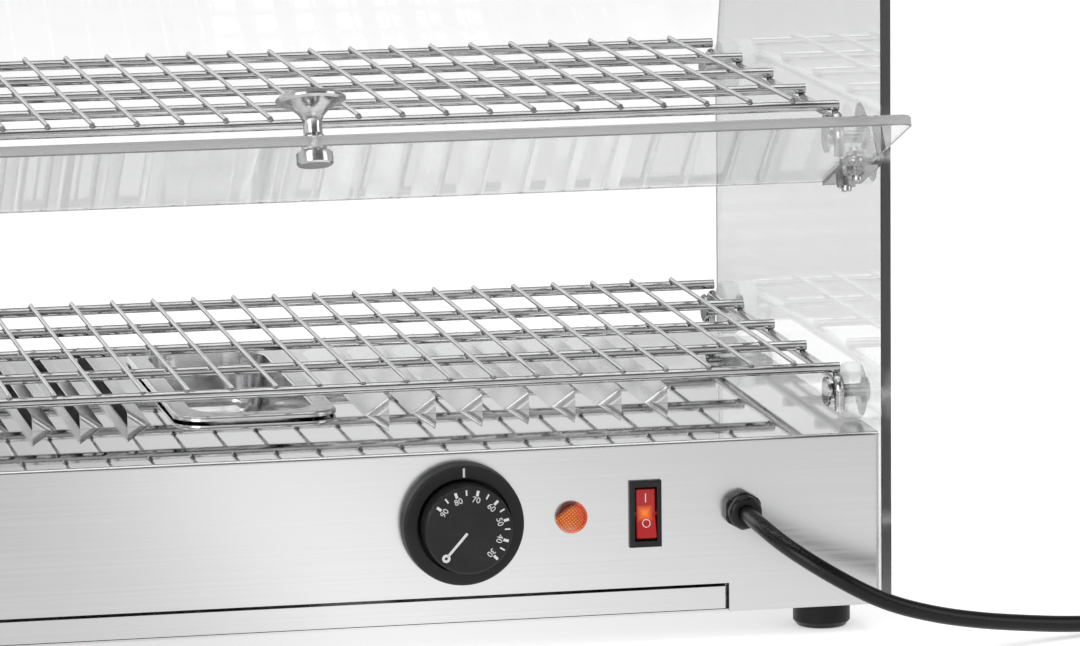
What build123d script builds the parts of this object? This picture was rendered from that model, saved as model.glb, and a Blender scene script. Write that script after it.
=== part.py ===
import os
from math import atan2, cos, degrees, radians, sin, tan

from build123d import *

os.makedirs("parts", exist_ok=True)

# Heated display case. X runs along the case, Y from the operator to the customer, Z up.
# The origin is on the worktop, under the middle of the case with its flaps open. Millimetres.

# Case
inner_half = 285  # half the clear width between the side panes
pane = 5  # thickness of every glass pane
outer_half = inner_half + pane
operator_edge = -126  # free edge of the side panes
customer_edge = 226  # customer side of the panes and the base
pane_foot = 17
pane_top = 370
lean = radians(16.5)  # the customer pane leans in by this above the upper shelf
lean_height = 233
lean_bend = 30
arris = 0.5  # ground edge of the fixed panes

# Fits
clearance = 0.1  # around screws and bolts
glass_clearance = 0.3  # around bolts through glass
running_fit = 0.05  # around pins that turn
fit_gap = 0.2  # beside sheets that drop in

# Base
sheet = 1
base_front = -121
base_low = 13
base_high = 96.6
fold_radius = 1.5
controls_height = 62.4

# Feet
foot_x = 262
foot_rows = (-99, 200)
foot_radius = 13.75
foot_tread = 11.6
foot_tread_height = 2.6
foot_recess = 5
foot_recess_radius = 5
foot_screw_radius = 2
foot_nut = 2.8
foot_nut_flat = 3.5

# Screws under the floor
floor_screw_x = 220
floor_screw_rows = (-106, 50, 206)
floor_screw_radius = 1.9
screw_head_radius = 4.2
screw_head = 2.4
screw_dome = 1.6
screw_tail = 2

# Crumb tray, its notch in the front panel and its guides
tray_half = 209.6
tray_low = 14.6
tray_high = 25.3
tray_wall = 9
tray_depth = 280
tray_lip = 6
notch_gap = 2
notch_high = 26.8
guide_sheet = 1.5
guide_flange = 18
guide_inset = 4  # how far the guides stop short of the panels

# Louvres, seven on each side of the pan, rising from a foot to an open mouth
louvre_count = 7
louvre_first = 52  # first foot from the pan's middle
louvre_pitch = 23.1
louvre_length = 197
louvre_mid_y = 82.5
louvre_width = 12  # foot to mouth
louvre_rise = 8.4
louvre_corner = 4  # where the slope turns down at its ends
louvre_least_slant = 0.1

# Water pan
pan_width = 80
pan_depth = 206
pan_mid_x = 2.6
pan_mid_y = 85.5
pan_rim = 9.2
pan_rim_height = 2.5
pan_rim_corner = 16
pan_rim_round = 1.8
pan_lip_round = 1.2
pan_basin = 34
pan_corner = 20
pan_draft = 5
pan_bottom_round = 11
pan_hole_gap = 1.5
pan_stand = 1  # gap under the rim
pan_foot_radius = 1.8
pan_foot_inset = 4.2
pan_foot_rows = (-60, 60)
rest_gap = 0.3  # under pieces that lift off

# Shelves
shelf_tops = (127, 254)
wire_radius = 1.1
wire_pitch = 21
wire_count = 25
wire_near = -87
wire_far = 188
rod_radius = 2.5
rod_half = 274.5
rod_count = 5
rod_near = -86
rod_far = 186
weld = 0.3  # how far crossing wires sink into each other
bar_x = 272.7
bar_bend = 6
leg_drop = 24  # hook legs end this far below the shelf's top

# Studs that carry the shelves, and the bushes between them and the panes
stud_radius = 3
stud_neck_radius = 3.8
stud_neck_end = 276
stud_drop = 15.7  # stud axis below the shelf's top
stud_rows = (-87, 179)
stud_head_radius = 7.25
stud_head = 1.4
stud_head_round = 0.5
stud_head_x = 267.1
cap_radius = 6.25
cap_height = 2.4
cap_round = 1.4
cap_socket = 2
bush_radius = 13.8
bush_length = 8.6
pivot_bush_length = 6.4
bush_round = 1.5

# Screws that hold the side panes to the base
pane_screw_rows = (-80, 52, 184)
pane_screw_height = 50
pane_screw_radius = 2.5
pane_screw_tail = 4
pane_screw_head_radius = 5

# Flaps, modelled open. Their frame has its origin on the pivot and its y towards the hinge edge.
flap_tilt = radians(19.8)  # above the horizontal
pivot_y = -109
pivot_heights = (228, 355)
pivot_radius = 2.5
pivot_head_radius = 5
pivot_washer = 0.8
pivot_nut = 4
pivot_tail = 2
flap_half = 275.6
flap_behind = 2  # glass behind the pivot
flap_reaches = (120.25, 108)  # glass in front of each pivot: the upper flap swings past the lower knob
flap_top = -7  # upper face of the glass, under the pivot
flap_low = flap_top - pane
flap_corner = 7
flap_arris = 0.6
flap_hole = 3.2
nut_flat = 4  # half the width across the flats of the small nuts
nut_height = 4

# Brackets on the flaps
bracket_sheet = 2
bracket_inner = 259.5
bracket_outer = 278.3
bracket_near = 1
bracket_far = 44
ear_far = 18
ear_radius = 6.5
bolt_x = 267.5
bolt_reaches = (15, 37)
bolt_radius = 2.5
bolt_head_radius = 4.3
bolt_head = 2.8
bolt_dome = 1.8
bolt_tail = 6

# Flap knobs, heights above the glass
knob_inset = 11.65  # from the flap's near edge
knob_radius = 16
knob_flat = 14.4
knob_neck = 4.4
knob_waist = 4.7
knob_foot_radius = 5.8
knob_foot = 1.6
knob_neck_low = 3.2
knob_waist_height = 9.5
knob_flare = 14.6
knob_flare_height = 17.4
knob_edge_low = 18.4
knob_edge_high = 19.4
knob_top = 21
knob_crown = 21.6
knob_stud = 3
knob_stud_tail = 5
knob_nut_radius = 8.4
knob_nut_height = 6.4
knob_nut_edge = 0.8

# Thermostat
dial_x = 82.1
ring_radius = 29.2
ring_height = 9
ring_draft = 3
ring_round = 1.5
ring_floor = 2
dial_radius = 20.8
dial_gap = 1.9
dial_back = 2.4
dial_front = 22
dial_round = 1.2
grip_count = 120
grip_radius = 0.4
grip_offset = 0.1
grip_near = 2  # grooves stop this far behind the dial's face
grip_far = 1.5  # and this far in front of the ring
shaft_radius = 3
shaft_hole = 5.2
shaft_in_dial = 11.6
shaft_in_body = 8
body_width = 36
body_corner = 4
body_depth = 28
bulb_radius = 3
bulb_length = 70
capillary_radius = 1
capillary_bend = 8

# Indicator lamp
lamp_x = 135
lamp_radius = 7.7
lamp_height = 3.4
lamp_round = 1.6
lamp_body_radius = 6
lamp_body_depth = 24

# Rocker switch
switch_x = 170.8
switch_width = 15.4
switch_height = 32
switch_bezel = 2.4
switch_bezel_round = 0.7
switch_body_width = 12.8
switch_body_height = 28.8
switch_body_depth = 26
rocker_width = 9.4
rocker_half = 12.3
rocker_angle = radians(8)
rocker_depth = 7
rocker_root = 6
rocker_valley = -1.6
rocker_edge = 0.4
rocker_pin_radius = 1.2
rocker_pin_half = 6.2
well_gap = 0.7
well_depth = 10

# Cable gland
gland_x = 217.5
gland_flat = 8.5
gland_corner = 9.2  # the hexagon's corners, turned round
gland_hex = 6
gland_hex_edge = 0.8
gland_turn = 30
gland_collar_radius = 8
gland_front = 12
gland_round = 2.4
gland_thread = 7.9
gland_back = 10
gland_nut_flat = 11
gland_nut_height = 5

# Mains cord and plug
cord_radius = 4
coil_x = 462
coil_y = -96
coil_inner = 30
coil_outer = 56.4
coil_low = 1.3
coil_high = 18.1
coil_round = 7
coil_turn = 52  # the cord enters and leaves on this radius, below and above
cord_enters = 5.5
cord_leaves = 13.8
tie_gap = 0.4
tie_sheet = 0.8
tie_width = 8
plug_x = coil_x + coil_turn
plug_back = coil_y + 92
plug_height = 15
plug_socket = 6  # how far the cord reaches into the plug
plug_neck_radius = 6.5
plug_waist = (30, 24, 10)  # width, height and corner
plug_waist_place = 20
plug_face = (35, 29, 13)
plug_length = 44
pin_spacing = 19
pin_radius = 2.4
pin_length = 19
pin_round = 1.2

# Heating elements, terminal block and wires inside the base
heater_radius = 4
heater_height = 52
heater_ends = (-62, 214)
heater_legs = (75, 195)
heater_bend = 25
hanger_sheet = 1.5
hanger_rows = (-40, 184)
hanger_margin = 12
hanger_drop = 9
block_x = 256
block_y = -62
block_size = (18, 44, 18)
block_holes = (-15, -5, 5, 15)
block_hole_radius = 2.4
block_hole_depth = 8
lead_radius = 1.3
lead_bend = 6


# Label a finished piece and write it
def keep(piece, name):
    piece.part.label = name
    export_step(piece.part, f"parts/{name}.step")


# A round bar along straight runs with rounded corners
def bar(points, radius, radii):
    with BuildPart() as body:
        with BuildLine() as path:
            FilletPolyline(*points, radius=radii)
        with BuildSketch(Plane(origin=path.line @ 0, z_dir=path.line % 0)):
            Circle(radius)
        sweep()
    return body.part


# The largest bends that a cord's runs leave room for
def cord_bends(points):
    bends = []
    for before, corner, after in zip(points, points[1:], points[2:]):
        arriving = Vector(*corner) - Vector(*before)
        leaving = Vector(*after) - Vector(*corner)
        half_turn = radians(arriving.get_angle(leaving)) / 2
        bends.append(0.45 * min(arriving.length, leaving.length) / tan(half_turn))
    return bends


# A louvre's form: a slope from its foot up to the mouth, turned down in a round at both ends
def wedge(inset, low, mouth):
    drop = inset / cos(atan2(louvre_rise, louvre_width))
    slope = louvre_rise / louvre_width
    with BuildPart() as body:
        with BuildSketch(Plane.XZ):
            with BuildLine():
                Polyline(((low + drop) / slope, low), (mouth, low), (mouth, mouth * slope - drop), close=True)
            make_face()
        extrude(amount=louvre_length / 2 - inset, both=True)
        runs = [(edge, edge.tangent_at(0.5)) for edge in body.edges()]
        fillet([edge for edge, run in runs if abs(run.X * run.Z) > louvre_least_slant], louvre_corner - inset)
    return body.part


# Front panel, with z pointing at the operator
panel = Plane(origin=(0, base_front, controls_height), x_dir=(1, 0, 0), z_dir=(0, -1, 0))

# Louvres: a scoop of sheet, and the slot under it
scoop_outside = wedge(0, -sheet, louvre_width)
scoop_inside = wedge(sheet, -2 * sheet, louvre_width + sheet)
right_slot = wedge(sheet, -2 * sheet, louvre_width)
with BuildPart() as louvre_scoop:
    add(scoop_outside)
    add(scoop_inside, mode=Mode.SUBTRACT)
left_scoop = mirror(louvre_scoop.part, about=Plane.YZ, mode=Mode.PRIVATE)
left_slot = mirror(right_slot, about=Plane.YZ, mode=Mode.PRIVATE)
feet = [louvre_first + louvre_pitch * place for place in range(louvre_count)]
right_feet = [(pan_mid_x + foot, louvre_mid_y, base_high) for foot in feet]
left_feet = [(pan_mid_x - foot, louvre_mid_y, base_high) for foot in feet]

# Base housing: one folded sheet with louvres, a pan cut-out, a tray notch and holes for the controls
middle = sheet / 2
pan_hole = 2 * (pan_hole_gap - pan_rim)
panel_holes = ((dial_x, shaft_hole), (lamp_x, lamp_body_radius), (gland_x, gland_thread))
with BuildPart() as base_housing:
    with BuildSketch(Plane.YZ):
        with BuildLine():
            FilletPolyline((base_front + middle, base_low), (base_front + middle, base_high - middle),
                           (customer_edge - middle, base_high - middle),
                           (customer_edge - middle, base_low), radius=fold_radius)
        trace(line_width=sheet)
    extrude(amount=inner_half, both=True)
    with Locations(*right_feet):
        add(right_slot, mode=Mode.SUBTRACT)
    with Locations(*left_feet):
        add(left_slot, mode=Mode.SUBTRACT)
    with Locations(*right_feet):
        add(louvre_scoop.part)
    with Locations(*left_feet):
        add(left_scoop)
    with BuildSketch(Plane.XY.offset(base_high - sheet)):
        with Locations((pan_mid_x, pan_mid_y)):
            RectangleRounded(pan_width + pan_hole, pan_depth + pan_hole, pan_corner)
    extrude(amount=sheet, mode=Mode.SUBTRACT)
    with Locations((0, base_front, base_low)):
        Box(2 * (tray_half + notch_gap), 4 * sheet, 2 * (notch_high - base_low), mode=Mode.SUBTRACT)
    with BuildSketch(panel):
        with Locations((switch_x, 0)):
            Rectangle(switch_body_width + 2 * clearance, switch_body_height + 2 * clearance)
        for hole_x, hole_radius in panel_holes:
            with Locations((hole_x, 0)):
                Circle(hole_radius + clearance)
    extrude(amount=-sheet, mode=Mode.SUBTRACT)
keep(base_housing, "base_housing")

# Base side plates, inside the housing's open ends, with holes for the pane screws
pane_screws = [(row, pane_screw_height) for row in pane_screw_rows]
inside_depth = customer_edge - base_front - 2 * sheet
inside_mid_y = (customer_edge + base_front) / 2
side_height = base_high - sheet - base_low
with BuildPart() as base_sides:
    with BuildSketch(Plane.YZ.offset(inner_half - sheet)):
        with Locations((inside_mid_y, base_low + side_height / 2)):
            RectangleRounded(inside_depth, side_height, fold_radius)
        with Locations(*pane_screws):
            Circle(pane_screw_radius + clearance, mode=Mode.SUBTRACT)
    extrude(amount=sheet)
    mirror(about=Plane.YZ)
keep(base_sides, "base_sides")

# Floor plate
floor_top = base_low + sheet
foot_places = [(side * foot_x, row) for row in foot_rows for side in (-1, 1)]
floor_screw_places = [(side * floor_screw_x, row) for side in (-1, 1) for row in floor_screw_rows]
with BuildPart() as base_floor:
    with BuildSketch(Plane.XY.offset(base_low)):
        with Locations((0, inside_mid_y)):
            Rectangle(2 * (inner_half - sheet - fit_gap), inside_depth - 2 * fit_gap)
        with Locations(*foot_places):
            Circle(foot_screw_radius + clearance, mode=Mode.SUBTRACT)
        with Locations(*floor_screw_places):
            Circle(floor_screw_radius + clearance, mode=Mode.SUBTRACT)
    extrude(amount=sheet)
keep(base_floor, "base_floor")

# Screws through the floor into the tray guides
with BuildPart() as floor_screws:
    with BuildSketch(Plane.XY.offset(base_low - screw_head)):
        with Locations(*floor_screw_places):
            Circle(screw_head_radius)
    extrude(amount=screw_head)
    fillet(floor_screws.edges().group_by(Axis.Z)[0], screw_dome)
    with BuildSketch(Plane.XY.offset(base_low)):
        with Locations(*floor_screw_places):
            Circle(floor_screw_radius)
    extrude(amount=sheet + guide_sheet + screw_tail)
keep(floor_screws, "floor_screws")

# Feet, turned about their screws
foot_names = ("foot_operator_left", "foot_operator_right", "foot_customer_left", "foot_customer_right")
foot_bore = foot_screw_radius + clearance
for (place_x, place_y), name in zip(foot_places, foot_names):
    with BuildPart() as foot:
        with BuildSketch(Plane(origin=(place_x, place_y, 0), x_dir=(1, 0, 0), z_dir=(0, -1, 0))):
            with BuildLine():
                Polyline((foot_bore, foot_recess), (foot_recess_radius, foot_recess), (foot_recess_radius, 0),
                         (foot_tread, 0), (foot_radius, foot_tread_height), (foot_radius, base_low),
                         (foot_bore, base_low), close=True)
            make_face()
        revolve(axis=Axis((place_x, place_y, 0), (0, 0, 1)))
    keep(foot, name)

# Screws and nuts that hold the feet
with BuildPart() as foot_screws:
    with BuildSketch(Plane.XY.offset(foot_recess - screw_head)):
        with Locations(*foot_places):
            Circle(screw_head_radius)
    extrude(amount=screw_head)
    with BuildSketch(Plane.XY.offset(foot_recess)):
        with Locations(*foot_places):
            Circle(foot_screw_radius)
    extrude(amount=floor_top - foot_recess)
    with BuildSketch(Plane.XY.offset(floor_top)):
        with Locations(*foot_places):
            RegularPolygon(foot_nut_flat, 6, major_radius=False)
    extrude(amount=foot_nut)
keep(foot_screws, "foot_screws")

# Angle guides on both sides of the tray
guide_x = tray_half + notch_gap / 2
with BuildPart() as tray_guides:
    with BuildSketch(Plane.XZ.offset(-base_front - sheet - guide_inset)):
        with BuildLine():
            Polyline((guide_x, floor_top), (guide_x + guide_flange, floor_top),
                     (guide_x + guide_flange, floor_top + guide_sheet),
                     (guide_x + guide_sheet, floor_top + guide_sheet),
                     (guide_x + guide_sheet, notch_high), (guide_x, notch_high), close=True)
        make_face()
    extrude(amount=2 * guide_inset - inside_depth)
    with BuildSketch(Plane.XY.offset(floor_top)):
        with Locations(*floor_screw_places):
            Circle(floor_screw_radius + clearance)
    extrude(amount=guide_sheet, mode=Mode.SUBTRACT)
    mirror(about=Plane.YZ)
keep(tray_guides, "tray_guides")

# Crumb tray: a shallow sheet drawer whose taller front fills the notch
with BuildPart() as crumb_tray:
    with Locations((0, base_front, tray_low)):
        Box(2 * tray_half, tray_depth, tray_wall, align=(Align.CENTER, Align.MIN, Align.MIN))
    with Locations((0, base_front + sheet, tray_low + sheet)):
        Box(2 * (tray_half - sheet), tray_depth - 2 * sheet, tray_wall,
            align=(Align.CENTER, Align.MIN, Align.MIN), mode=Mode.SUBTRACT)
    with Locations((0, base_front, tray_low)):
        Box(2 * tray_half, sheet, tray_high - tray_low, align=(Align.CENTER, Align.MIN, Align.MIN))
    with Locations((0, base_front + sheet, tray_high)):
        Box(2 * tray_half, tray_lip, sheet, align=(Align.CENTER, Align.MIN, Align.MAX))
keep(crumb_tray, "crumb_tray")

# Water pan: a drawn basin with a raised, turned-down rim that stands on four small feet
rim_low = base_high + pan_stand
rim_high = rim_low + pan_rim_height
basin_width = pan_width - 2 * pan_rim
basin_depth = pan_depth - 2 * pan_rim


# The basin's form, its inside drawn in by the sheet
def basin(inset):
    with BuildPart() as body:
        with BuildSketch(Plane.XY.offset(rim_high)):
            with Locations((pan_mid_x, pan_mid_y)):
                RectangleRounded(basin_width - 2 * inset, basin_depth - 2 * inset, pan_corner - inset)
        extrude(amount=inset - pan_basin, taper=pan_draft)
        fillet(body.faces().sort_by(Axis.Z)[0].edges(), pan_bottom_round - inset)
    return body.part


# The rim's form, its inside drawn in by the sheet
def rim(inset):
    with BuildPart() as body:
        with BuildSketch(Plane.XY.offset(rim_low)):
            with Locations((pan_mid_x, pan_mid_y)):
                RectangleRounded(pan_width - 2 * inset, pan_depth - 2 * inset, pan_rim_corner - inset)
        extrude(amount=pan_rim_height - inset)
        fillet(body.faces().sort_by(Axis.Z)[-1].edges(), pan_rim_round - inset)
    return body.part


pan_foot_x = pan_width / 2 - pan_foot_inset
pan_feet = [(pan_mid_x + side * pan_foot_x, pan_mid_y + row) for side in (-1, 1) for row in pan_foot_rows]
basin_outside = basin(0)
basin_inside = basin(sheet)
rim_outside = rim(0)
rim_inside = rim(sheet)
with BuildPart() as water_pan:
    add(rim_outside)
    add(rim_inside, mode=Mode.SUBTRACT)
    add(basin_outside)
    add(basin_inside, mode=Mode.SUBTRACT)
    fillet(water_pan.faces().sort_by(Axis.Z)[-1].inner_wires()[0].edges(), pan_lip_round)
    with BuildSketch(Plane.XY.offset(base_high + rest_gap)):
        with Locations(*pan_feet):
            Circle(pan_foot_radius)
    extrude(amount=rim_high - sheet / 2 - base_high - rest_gap)
keep(water_pan, "water_pan")

# Side panes, with holes for the studs, the flap pivots and the screws into the base
customer_top = customer_edge - (pane_top - lean_height) * tan(lean)
stud_places = [(row, top - stud_drop) for top in shelf_tops for row in stud_rows]
pivot_places = [(pivot_y, height) for height in pivot_heights]
for side, name in ((1, "glass_side_right"), (-1, "glass_side_left")):
    with BuildPart() as glass_side:
        with BuildSketch(Plane.YZ.offset(side * (inner_half + pane / 2))) as outline:
            with BuildLine():
                Polyline((operator_edge, pane_foot), (customer_edge, pane_foot), (customer_edge, lean_height),
                         (customer_top, pane_top), (operator_edge, pane_top), close=True)
            make_face()
            fillet(outline.vertices().sort_by_distance((customer_edge, lean_height))[0], lean_bend)
            with Locations(*stud_places):
                Circle(stud_radius + glass_clearance, mode=Mode.SUBTRACT)
            with Locations(*pivot_places):
                Circle(pivot_radius + glass_clearance, mode=Mode.SUBTRACT)
            with Locations(*pane_screws):
                Circle(pane_screw_radius + glass_clearance, mode=Mode.SUBTRACT)
        extrude(amount=pane / 2, both=True)
        for face in glass_side.faces().filter_by(Axis.X):
            chamfer(face.outer_wire().edges(), arris)
    keep(glass_side, name)

# Customer pane, upright and then leaning in
inner_edge = customer_edge - pane
inner_bend_height = lean_height - pane * tan(lean / 2)
inner_top = customer_top - pane / cos(lean)
with BuildPart() as glass_front:
    with BuildSketch(Plane.YZ) as section:
        with BuildLine():
            Polyline((customer_edge, base_high), (customer_edge, lean_height), (customer_top, pane_top),
                     (inner_top, pane_top), (inner_edge, inner_bend_height), (inner_edge, base_high),
                     close=True)
        make_face()
        fillet(section.vertices().sort_by_distance((customer_edge, lean_height))[0], lean_bend)
        fillet(section.vertices().sort_by_distance((inner_edge, inner_bend_height))[0], lean_bend - pane)
    extrude(amount=inner_half - fit_gap, both=True)
keep(glass_front, "glass_front")

# Roof pane
with BuildPart() as glass_roof:
    with Locations((0, operator_edge, pane_top)):
        Box(2 * outer_half, customer_top - operator_edge, pane, align=(Align.CENTER, Align.MIN, Align.MIN))
    chamfer(glass_roof.edges(), arris)
keep(glass_roof, "glass_roof")

# Screws that hold the side panes to the base
with BuildPart() as glass_screws:
    with BuildSketch(Plane.YZ.offset(inner_half - pane_screw_tail)):
        with Locations(*pane_screws):
            Circle(pane_screw_radius)
    extrude(amount=pane + pane_screw_tail)
    with BuildSketch(Plane.YZ.offset(outer_half)):
        with Locations(*pane_screws):
            Circle(pane_screw_head_radius)
    extrude(amount=cap_height)
    fillet(glass_screws.edges().group_by(Axis.X)[-1], cap_round)
    mirror(about=Plane.YZ)
keep(glass_screws, "glass_screws")

# Studs with flat heads and a neck inside the case
with BuildPart() as shelf_studs:
    with BuildSketch(Plane.YZ.offset(stud_head_x)):
        with Locations(*stud_places):
            Circle(stud_head_radius)
    extrude(amount=stud_head)
    fillet(shelf_studs.edges().group_by(Axis.X)[0], stud_head_round)
    with BuildSketch(Plane.YZ.offset(stud_head_x + stud_head)):
        with Locations(*stud_places):
            Circle(stud_neck_radius)
    extrude(amount=stud_neck_end - stud_head_x - stud_head)
    with BuildSketch(Plane.YZ.offset(stud_neck_end)):
        with Locations(*stud_places):
            Circle(stud_radius)
    extrude(amount=outer_half - stud_neck_end)
    mirror(about=Plane.YZ)
keep(shelf_studs, "shelf_studs")

# Screw caps that hold the studs from outside
with BuildPart() as stud_caps:
    with BuildSketch(Plane.YZ.offset(outer_half)):
        with Locations(*stud_places):
            Circle(cap_radius)
    extrude(amount=cap_height)
    fillet(stud_caps.edges().group_by(Axis.X)[-1], cap_round)
    with BuildSketch(Plane.YZ.offset(outer_half + cap_height)):
        with Locations(*stud_places):
            RegularPolygon(cap_socket, 6)
    extrude(amount=-cap_round, mode=Mode.SUBTRACT)
    mirror(about=Plane.YZ)
keep(stud_caps, "stud_caps")

# Round bushes for single bolts
pivot_bush_face = inner_half - pivot_bush_length
lower_pivot, upper_pivot = pivot_places
block_stud = stud_places[2]
single_studs = [place for place in stud_places if place != block_stud]
with BuildPart() as stud_bushes:
    with BuildSketch(Plane.YZ.offset(inner_half - bush_length)):
        with Locations(*single_studs):
            Circle(bush_radius)
            Circle(stud_radius + clearance, mode=Mode.SUBTRACT)
    extrude(amount=bush_length)
    with BuildSketch(Plane.YZ.offset(pivot_bush_face)):
        with Locations(upper_pivot):
            Circle(bush_radius)
            Circle(pivot_radius + clearance, mode=Mode.SUBTRACT)
    extrude(amount=pivot_bush_length)
    fillet(stud_bushes.edges().filter_by(GeomType.CIRCLE).group_by(SortBy.RADIUS)[-1], bush_round)
    mirror(about=Plane.YZ)
keep(stud_bushes, "stud_bushes")

# Longer blocks where the upper shelf's near stud and the lower flap's pivot sit close together
block_run = Vector(*block_stud) - Vector(*lower_pivot)
block_turn = degrees(atan2(block_run.Y, block_run.X))
with BuildPart() as hinge_blocks:
    with BuildSketch(Plane.YZ.offset(pivot_bush_face)):
        with Locations(Vector(*lower_pivot) + block_run / 2):
            SlotCenterToCenter(block_run.length, 2 * bush_radius, rotation=block_turn)
        with Locations(block_stud):
            Circle(stud_radius + clearance, mode=Mode.SUBTRACT)
        with Locations(lower_pivot):
            Circle(pivot_radius + clearance, mode=Mode.SUBTRACT)
    extrude(amount=pivot_bush_length)
    for face in hinge_blocks.faces().filter_by(Axis.X):
        fillet(face.outer_wire().edges(), bush_round)
    mirror(about=Plane.YZ)
keep(hinge_blocks, "hinge_blocks")

# Pivot bolts for the flaps
washer_face = bracket_outer - bracket_sheet - clearance
nut_face = washer_face - pivot_washer - pivot_nut
with BuildPart() as pivot_bolts:
    with BuildSketch(Plane.YZ.offset(nut_face - pivot_tail)):
        with Locations(*pivot_places):
            Circle(pivot_radius)
    extrude(amount=outer_half - nut_face + pivot_tail)
    with BuildSketch(Plane.YZ.offset(outer_half)):
        with Locations(*pivot_places):
            Circle(pivot_head_radius)
    extrude(amount=cap_height)
    fillet(pivot_bolts.edges().group_by(Axis.X)[-1], cap_round)
    mirror(about=Plane.YZ)
keep(pivot_bolts, "pivot_bolts")

# Pivot nuts, each with a friction washer
with BuildPart() as pivot_nuts:
    with BuildSketch(Plane.YZ.offset(nut_face)):
        with Locations(*pivot_places):
            RegularPolygon(nut_flat, 6, major_radius=False)
    extrude(amount=pivot_nut)
    with BuildSketch(Plane.YZ.offset(nut_face + pivot_nut)):
        with Locations(*pivot_places):
            Circle(pivot_head_radius)
    extrude(amount=pivot_washer)
    with BuildSketch(Plane.YZ.offset(nut_face)):
        with Locations(*pivot_places):
            Circle(pivot_radius + clearance)
    extrude(amount=pivot_nut + pivot_washer, mode=Mode.SUBTRACT)
    mirror(about=Plane.YZ)
keep(pivot_nuts, "pivot_nuts")

# Shelves: a grid of wires welded on cross rods, and hooked bars underneath that sit on the studs
rod_spacing = (rod_far - rod_near) / (rod_count - 1)
rod_places = [rod_near + rod_spacing * place for place in range(rod_count)]
wire_places = [wire_pitch * (place - (wire_count - 1) / 2) for place in range(wire_count)]
wire_mid_y = (wire_near + wire_far) / 2
leg_near = stud_rows[0] - stud_neck_radius - rod_radius - rest_gap
leg_far = stud_rows[1] + stud_neck_radius + rod_radius + rest_gap
for shelf_top, level in zip(shelf_tops, ("lower", "upper")):
    wire_height = shelf_top - wire_radius
    rod_height = wire_height - wire_radius + weld - rod_radius
    bar_height = rod_height - 2 * rod_radius + weld
    leg_end = shelf_top - leg_drop

    with BuildPart() as shelf_grid:
        with Locations(*[(0, place, rod_height) for place in rod_places]):
            Cylinder(rod_radius, 2 * rod_half, rotation=(0, 90, 0))
        with Locations(*[(place, wire_mid_y, wire_height) for place in wire_places]):
            Cylinder(wire_radius, wire_far - wire_near, rotation=(90, 0, 0))
    keep(shelf_grid, f"{level}_shelf_grid")

    hook = [(bar_x, leg_near, leg_end), (bar_x, leg_near, bar_height),
            (bar_x, leg_far, bar_height), (bar_x, leg_far, leg_end)]
    hooked_bar = bar(hook, rod_radius, bar_bend)
    with BuildPart() as shelf_bars:
        add(hooked_bar)
        mirror(about=Plane.YZ)
    keep(shelf_bars, f"{level}_shelf_bars")

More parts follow.
